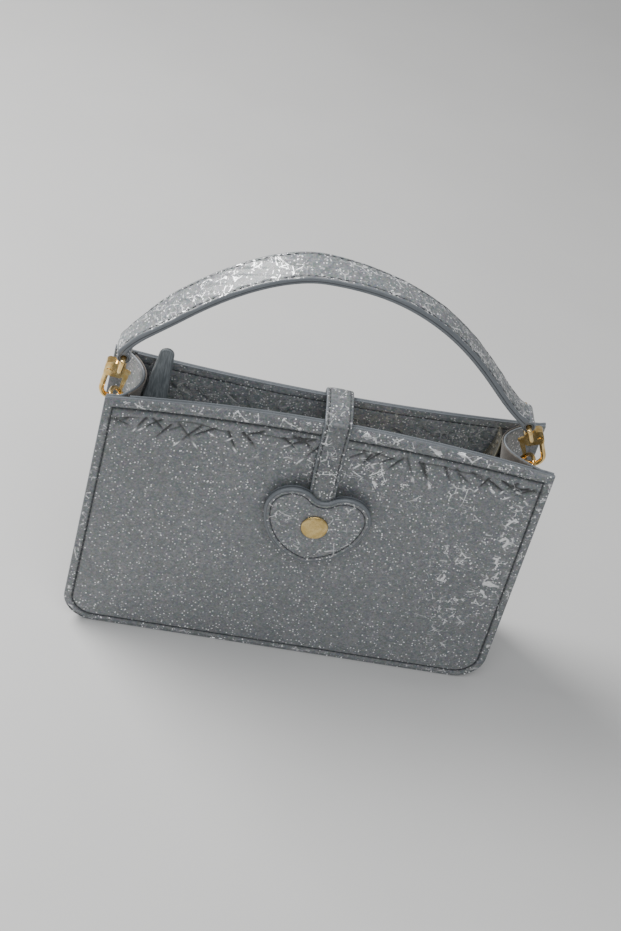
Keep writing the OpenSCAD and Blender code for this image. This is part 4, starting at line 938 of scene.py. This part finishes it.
def closingStrap():
    # the belt's section across x, off the path along its normals, crowned, rippled and grooved by stitches
    s, path = strap, evenly(strapPath(), 260)
    n, run = -sideNormals(path), runAlong(path)[:, None]
    w, sign, add, isEdge, groove = beltSection(s["half"], s["edge"], 25)
    topSide = (sign > 0) & (isEdge == 0)
    seamAt = s["half"] - s["stitchIn"]
    line = hump(np.abs(w) - seamAt, 0.34) * topSide
    ripple = s["ripple"] * sin(run / 5.2 + w / 3) * sin(run / 13)
    relief = (s["crown"] * (1 - (w / s["half"]) ** 2) + ripple) * topSide - s["seam"] * line
    share, after, over = s["narrowed"]
    slim = 1 - share * smoothStep((run - after) / over)  # it narrows a little towards the heart
    middle = s["x"] + np.interp(run, *s["lean"])
    t = s["thick"] / 2 + sign * (s["thick"] / 2 - s["edge"]) + add + relief
    # painted shade along the stitch lines and in the groove between the layers
    marks = {"shade": clip(0.8 * line + 0.9 * groove, 0, 1), "crumpleAndHighlight": 0.25}
    rings = grid(middle + w * slim, *beside(path, n, t))
    piece = ringShell("closingStrap", rings, [shadedStrapGlitter, edgeFinish], 0, isEdge, marks)
    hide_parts("closure_anchor", "closure_strap")
    sewn, out = slice(*s["sewn"]), grid(0, n[:, 0], n[:, 1])
    upon = beside(path, n, s["thick"] + 0.02)
    rows = (grid(middle + side * seamAt * slim, *upon)[:, 0] for side in (-1, 1))
    stitches = stitchRow("strapStitches", [(row[sewn], out[sewn]) for row in rows], None, **s["stitch"])
    start, end = (mm * array([s["x"], s["fold"] + reach, s["foldHeight"]]) for reach in s["foldReach"])
    for bent in (piece, stitches):
        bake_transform(bent)


closingStrap()

handle = {"peak": (-19.2, 208.5), "eyes": ((-95.13, 149.71), (83.96, 152.11)), "flat": (0.457, 0.596),
          "out": ((0.034, 0.091), (-0.21, 0.24)), "half": 8.0, "thick": 3.4, "edge": 1.0, "eyeRoom": 1.24,
          "loopWall": 1.7, "loopEdge": 0.7, "bank": 14, "flare": (0.5, 5), "taper": (0.16, 22),
          "crown": 0.45, "wrinkle": 0.16, "seam": 0.22, "stitchIn": 1.6,
          "stitch": {"length": 2.0, "radius": 0.25}}


def halfLine(hand):
    # one cubic curve from the peak, level there, to the eye
    p, eye = array(handle["peak"]), array(handle["eyes"][hand])
    span = eye - p
    out = array(handle["out"][hand]) * span * [1, -1]
    end = eye + (handle["eyeRoom"] + handle["loopWall"] / 2) * unit(out)
    second = p + array([handle["flat"][hand] * span[0], 0])
    t = linspace(0, 1, 120)[:, None]
    return (1 - t) ** 3 * p + 3 * t * (1 - t) ** 2 * second + 3 * t * t * (1 - t) * (eye + out) + t ** 3 * end


def handleStrap():
    # the belt's section along the line, banked towards the front at the left, narrower at both ends
    h, line = handle, evenly(join(halfLine(0)[:0:-1], halfLine(1)), 260)
    n, run = sideNormals(line), runAlong(line)[:, None]
    total = run[-1, 0]
    toEnd = np.minimum(run, total - run)
    w, sign, add, isEdge, groove = beltSection(h["half"], h["edge"], 33)
    slim = 1 - h["taper"][0] * (1 - smoothStep(toEnd / h["taper"][1]))
    half = h["thick"] / 2 + h["flare"][0] * (1 - smoothStep(toEnd / h["flare"][1]))
    topSide, underside = (sign > 0) & (isEdge == 0), (sign < 0) & (isEdge == 0)
    seamAt = h["half"] - h["stitchIn"]
    seam = hump(np.abs(w) - seamAt, 0.36) * topSide
    crown = h["crown"] * (1 - (w / h["half"]) ** 2) * (topSide - 0.5 * underside) - h["seam"] * seam
    wrinkle = h["wrinkle"] * sin(run / 2.3 + w) * sin(run / 7.7 + w / 2.1) * topSide
    bank = np.radians(h["bank"]) * plateau(run, 8, total * 0.62, 26, 60)

    def banked(across, up):  # turned about the line by the bank
        x, z = beside(line, n, across * sin(bank) + up * cos(bank))
        return grid(x, across * cos(bank) - up * sin(bank), z)
    rings = banked(w * slim, sign * (half - h["edge"]) + add + crown + wrinkle)
    # painted shade in the groove between the layers and along the stitch seams
    marks = {"shade": clip(0.95 * groove + 0.75 * seam, 0, 1), "crumpleAndHighlight": 0.9}
    piece = ringShell("handleStrap", rings, [handleGlitter, edgeFinish], 0, isEdge, marks)
    seat(piece, "handle", "glitter_leather", "handle_strap")
    out = grid(n[:, :1] * cos(bank), -sin(bank), n[:, 1:] * cos(bank))[6:-6, 0]
    runs = [(banked(side * seamAt * slim, half + 0.04)[6:-6, 0], out) for side in (-1, 1)]
    stitchRow("handleStitches", runs, "handle", **h["stitch"])
    # a loop of leather round each swivel eye: a rounded section turned about the eye's bar
    w, sign, add, isEdge, groove = beltSection(h["half"] * (1 - h["taper"][0]), h["loopEdge"], 17)
    a, middle = linspace(0, 2 * pi, 64, endpoint=False)[:, None], h["loopWall"] / 2
    r = h["eyeRoom"] + 0.03 + middle + sign * (middle - h["loopEdge"]) + add
    for name, eye in zip(("handleLoopLeft", "handleLoopRight"), h["eyes"]):
        rings = grid(eye[0] + r * cos(a), w, eye[1] + r * sin(a))
        # painted shade in the groove between the layers
        marks = {"shade": 0.9 * groove, "crumpleAndHighlight": 0.5}
        piece = ringShell(name, rings, [handleGlitter, edgeFinish], 0, isEdge, marks, True)
        seat(piece, "handle", "glitter_leather")


handleStrap()
print("straps made")

leaf = {"at": (-80.45, 0.75, 112.6), "foot": 6.5, "tip": 3.3, "length": 39.3, "thick": 2.6, "lean": 5,
        "tilt": 5, "flareFrom": 12, "flare": 0.0016}


def zipLeaf():
    # a tapered leaf with round ends, whose two layers part a little at the top
    foot, tip, t = leaf["foot"], leaf["tip"], leaf["thick"] / 2
    top = leaf["length"] - tip
    lean = np.arcsin((foot - tip) / top)
    a, b = linspace(lean, pi - lean, 24), linspace(pi - lean, 2 * pi + lean, 30)
    side = linspace(0, 1, 30)[1:-1, None]
    upper, lower = tip * grid(cos(a), sin(a)) + [0, top], foot * grid(cos(b), sin(b))
    loop = join(upper, between(upper[-1], lower[0], side), lower, between(lower[-1], upper[0], side))
    turn = join(a, np.full(28, pi - lean), b, np.full(28, 2 * pi + lean))
    half = [(2.4, t + 0.05), (1.6, t), (0.9, t - 0.06), (0.4, t - 0.25), (0.1, t - 0.6), (0.0, t - 0.95)]
    steps = half + [(0.2, 0.0)] + [(inset, -level) for inset, level in half[:0:-1]] + [(2.4, -t)]
    face = [(s, 0.12) for s in (0.9, 0.75, 0.55, 0.35, 0.15)]
    x, u, v = np.moveaxis(padRings(loop, grid(cos(turn), sin(turn)), steps, (face, face), (0, 14)), -1, 0)
    tilt, back = np.radians(leaf["tilt"]), np.radians(leaf["lean"])
    x, u = x * cos(tilt) + u * sin(tilt), u * cos(tilt) - x * sin(tilt)
    v = v + leaf["flare"] * (u - leaf["flareFrom"]) ** 2 * (u > leaf["flareFrom"])
    ax, ay, az = leaf["at"]
    rings = grid(ax + x, ay + u * sin(back) - v * cos(back), az + u * cos(back) + v * sin(back))
    # painted shade where the two layers meet
    shade = np.zeros((len(rings), 1))
    shade[len(face) + 5:len(face) + 8, 0] = 0.5, 1.0, 0.5
    piece = ringShell("zipLeaf", rings, [leafLeather], marks={"shade": shade})
    seat(piece, "bag", "plain_leather", "zip_end_tab")


zipLeaf()

# Ring tabs: a leather strip sewn on each gusset, round the ring's bar and back

ringTab = {"half": 4.5, "leather": 1.4, "edge": 0.55, "room": 1.07, "rootDrop": 27, "patch": 16, "lift": 0.05,
           "bars": {-1: (-94.01, 118.45), 1: (91.76, 121.98)}}


def tabShell(name, side, node):
    # up the gusset's middle, out to the bar, half a turn round it and back, the layers side by side
    bar, t = array(ringTab["bars"][side]), ringTab["leather"]
    rootZ, off = rim - ringTab["rootDrop"], t / 2 + ringTab["lift"]
    half = bag["mouthDepth"] / 2 - bag["panelThick"] - gussetThick
    rise = foldDepth(side, rootZ) * (ringTab["half"] / half) ** 2

    def face(z):  # the gusset's middle at a height, off it by half the strip and the fold's rise
        return array([webGrid(side, 0, array([z]), 0)[0, 0] + side * (t / 2 + 0.3 + rise), z])
    start, root = face(rootZ - ringTab["patch"]), face(rootZ)
    along = unit(bar - root)
    out, r = side * array([along[1], -along[0]]), ringTab["room"] + t / 2
    a = linspace(-pi / 2, pi / 2, 22)[:, None]
    low = between(start, root, linspace(0, 1, 14)[:, None])
    up = between(root + out * off, bar + out * r, linspace(0.12, 0.96, 12)[:, None])
    down = between(bar - out * r, root - out * off, linspace(0.04, 0.8, 12)[:, None])
    path = evenly(join(low, up, bar + r * (cos(a) * along - sin(a) * out), down), 110)
    w, sign, add, isEdge, groove = beltSection(ringTab["half"], ringTab["edge"], 15)
    x, z = beside(path, sideNormals(path), sign * (t / 2 - ringTab["edge"]) + add)
    # painted shade in the groove between the layers
    marks = {"shade": 0.5 * groove, "crumpleAndHighlight": 0.2}
    piece = ringShell(name, grid(x, w, z), [glitterFinish, edgeFinish], 0, isEdge, marks)
    seat(piece, "bag", "plain_leather", node)


tabShell("ringTabLeft", -1, "ring_tab_left")
tabShell("ringTabRight", 1, "ring_tab_right")
print("tabs made")

# Metal and hidden pieces keep the frame's shapes

cadFinish = {"gate_spring": springSteel, "base_board": boardFinish, "snap_washer": satinGold}
for name, node in nodes.items():
    finish = next((value for key, value in cadFinish.items() if name.startswith(key)), goldPlate)
    if not node.hide_render:
        node.data.materials.clear()
        node.data.materials.append(finish)

# Floor, light and camera

studio = {"floor": (0.62, 0.62, 0.615, 1), "floorHalf": 3000, "floorHeight": -0.05,
          "world": {"Color": (0.84, 0.845, 0.855, 1), "Strength": 0.45},
          "key": {"at": (-0.66, 0.32, 0.82), "size": 0.65, "power": 16.5, "color": (1.0, 0.99, 0.975)},
          "fill": {"at": (0, -0.55, 1.0), "size": 0.9, "power": 5, "color": (0.97, 0.985, 1.0)},
          "cameraPlace": (-84.33, -463.68, 506.43), "cameraAim": (-7.21, -19.69, 119.75), "cameraRoll": 16.33,
          "lens": 52.2}


def intoScene(name, data):  # a new object at the origin
    thing = bpy.data.objects.new(name, data)
    bpy.context.scene.collection.objects.link(thing)
    return thing


def makeFloor():  # one flat square with faint clouds
    f = Finish("paleFloor", {})
    cloud = f.noise(f.place(), 120, 3)
    darker = [c * 0.93 for c in studio["floor"][:3]] + [1]
    material = f.finish(f.mix(cloud.rise(0.3, 0.7) * 0.5, studio["floor"], darker), 0.5 + cloud * 0.1)
    s, z = studio["floorHalf"], studio["floorHeight"]
    corners = array([[-s, -s, z], [s, -s, z], [s, s, z], [-s, s, z]])
    mesh = bpy.data.meshes.new("floor")
    mesh.from_pydata((corners * mm).tolist(), [], [[0, 1, 2, 3]])
    mesh.materials.append(material)
    intoScene("floor", mesh)


def makeLight(name):  # a round area light that looks at the middle of the bag
    lamp, look = bpy.data.lights.new(name, "AREA"), studio[name]
    lamp.shape, lamp.size, lamp.energy, lamp.color = "DISK", look["size"], look["power"], look["color"]
    light = intoScene(name, lamp)
    light.location = look["at"]
    light.rotation_euler = (Vector((0, 0, 0.08)) - Vector(look["at"])).to_track_quat("-Z", "Y").to_euler()


def makeCamera():  # looks from its place to its aim, turned about that line by the roll
    place, aim = Vector(studio["cameraPlace"]) * mm, Vector(studio["cameraAim"]) * mm
    forward, roll = (aim - place).normalized(), np.radians(studio["cameraRoll"])
    level = forward.cross(Vector((0, 0, 1))).normalized()
    up = level.cross(forward)
    right, over = level * cos(roll) + up * sin(roll), up * cos(roll) - level * sin(roll)
    data = bpy.data.cameras.new("camera")
    data.lens, data.sensor_width, data.clip_start = studio["lens"], 36, 0.01
    camera = intoScene("camera", data)
    camera.matrix_world = Matrix.Translation(place) @ Matrix((right, over, -forward)).transposed().to_4x4()
    bpy.context.scene.camera = camera


makeFloor()
world = bpy.data.worlds.new("studio")
world.use_nodes = True
for key, value in studio["world"].items():
    world.node_tree.nodes["Background"].inputs[key].default_value = value
bpy.context.scene.world = world
makeLight("key")
makeLight("fill")
makeCamera()
print("studio made")
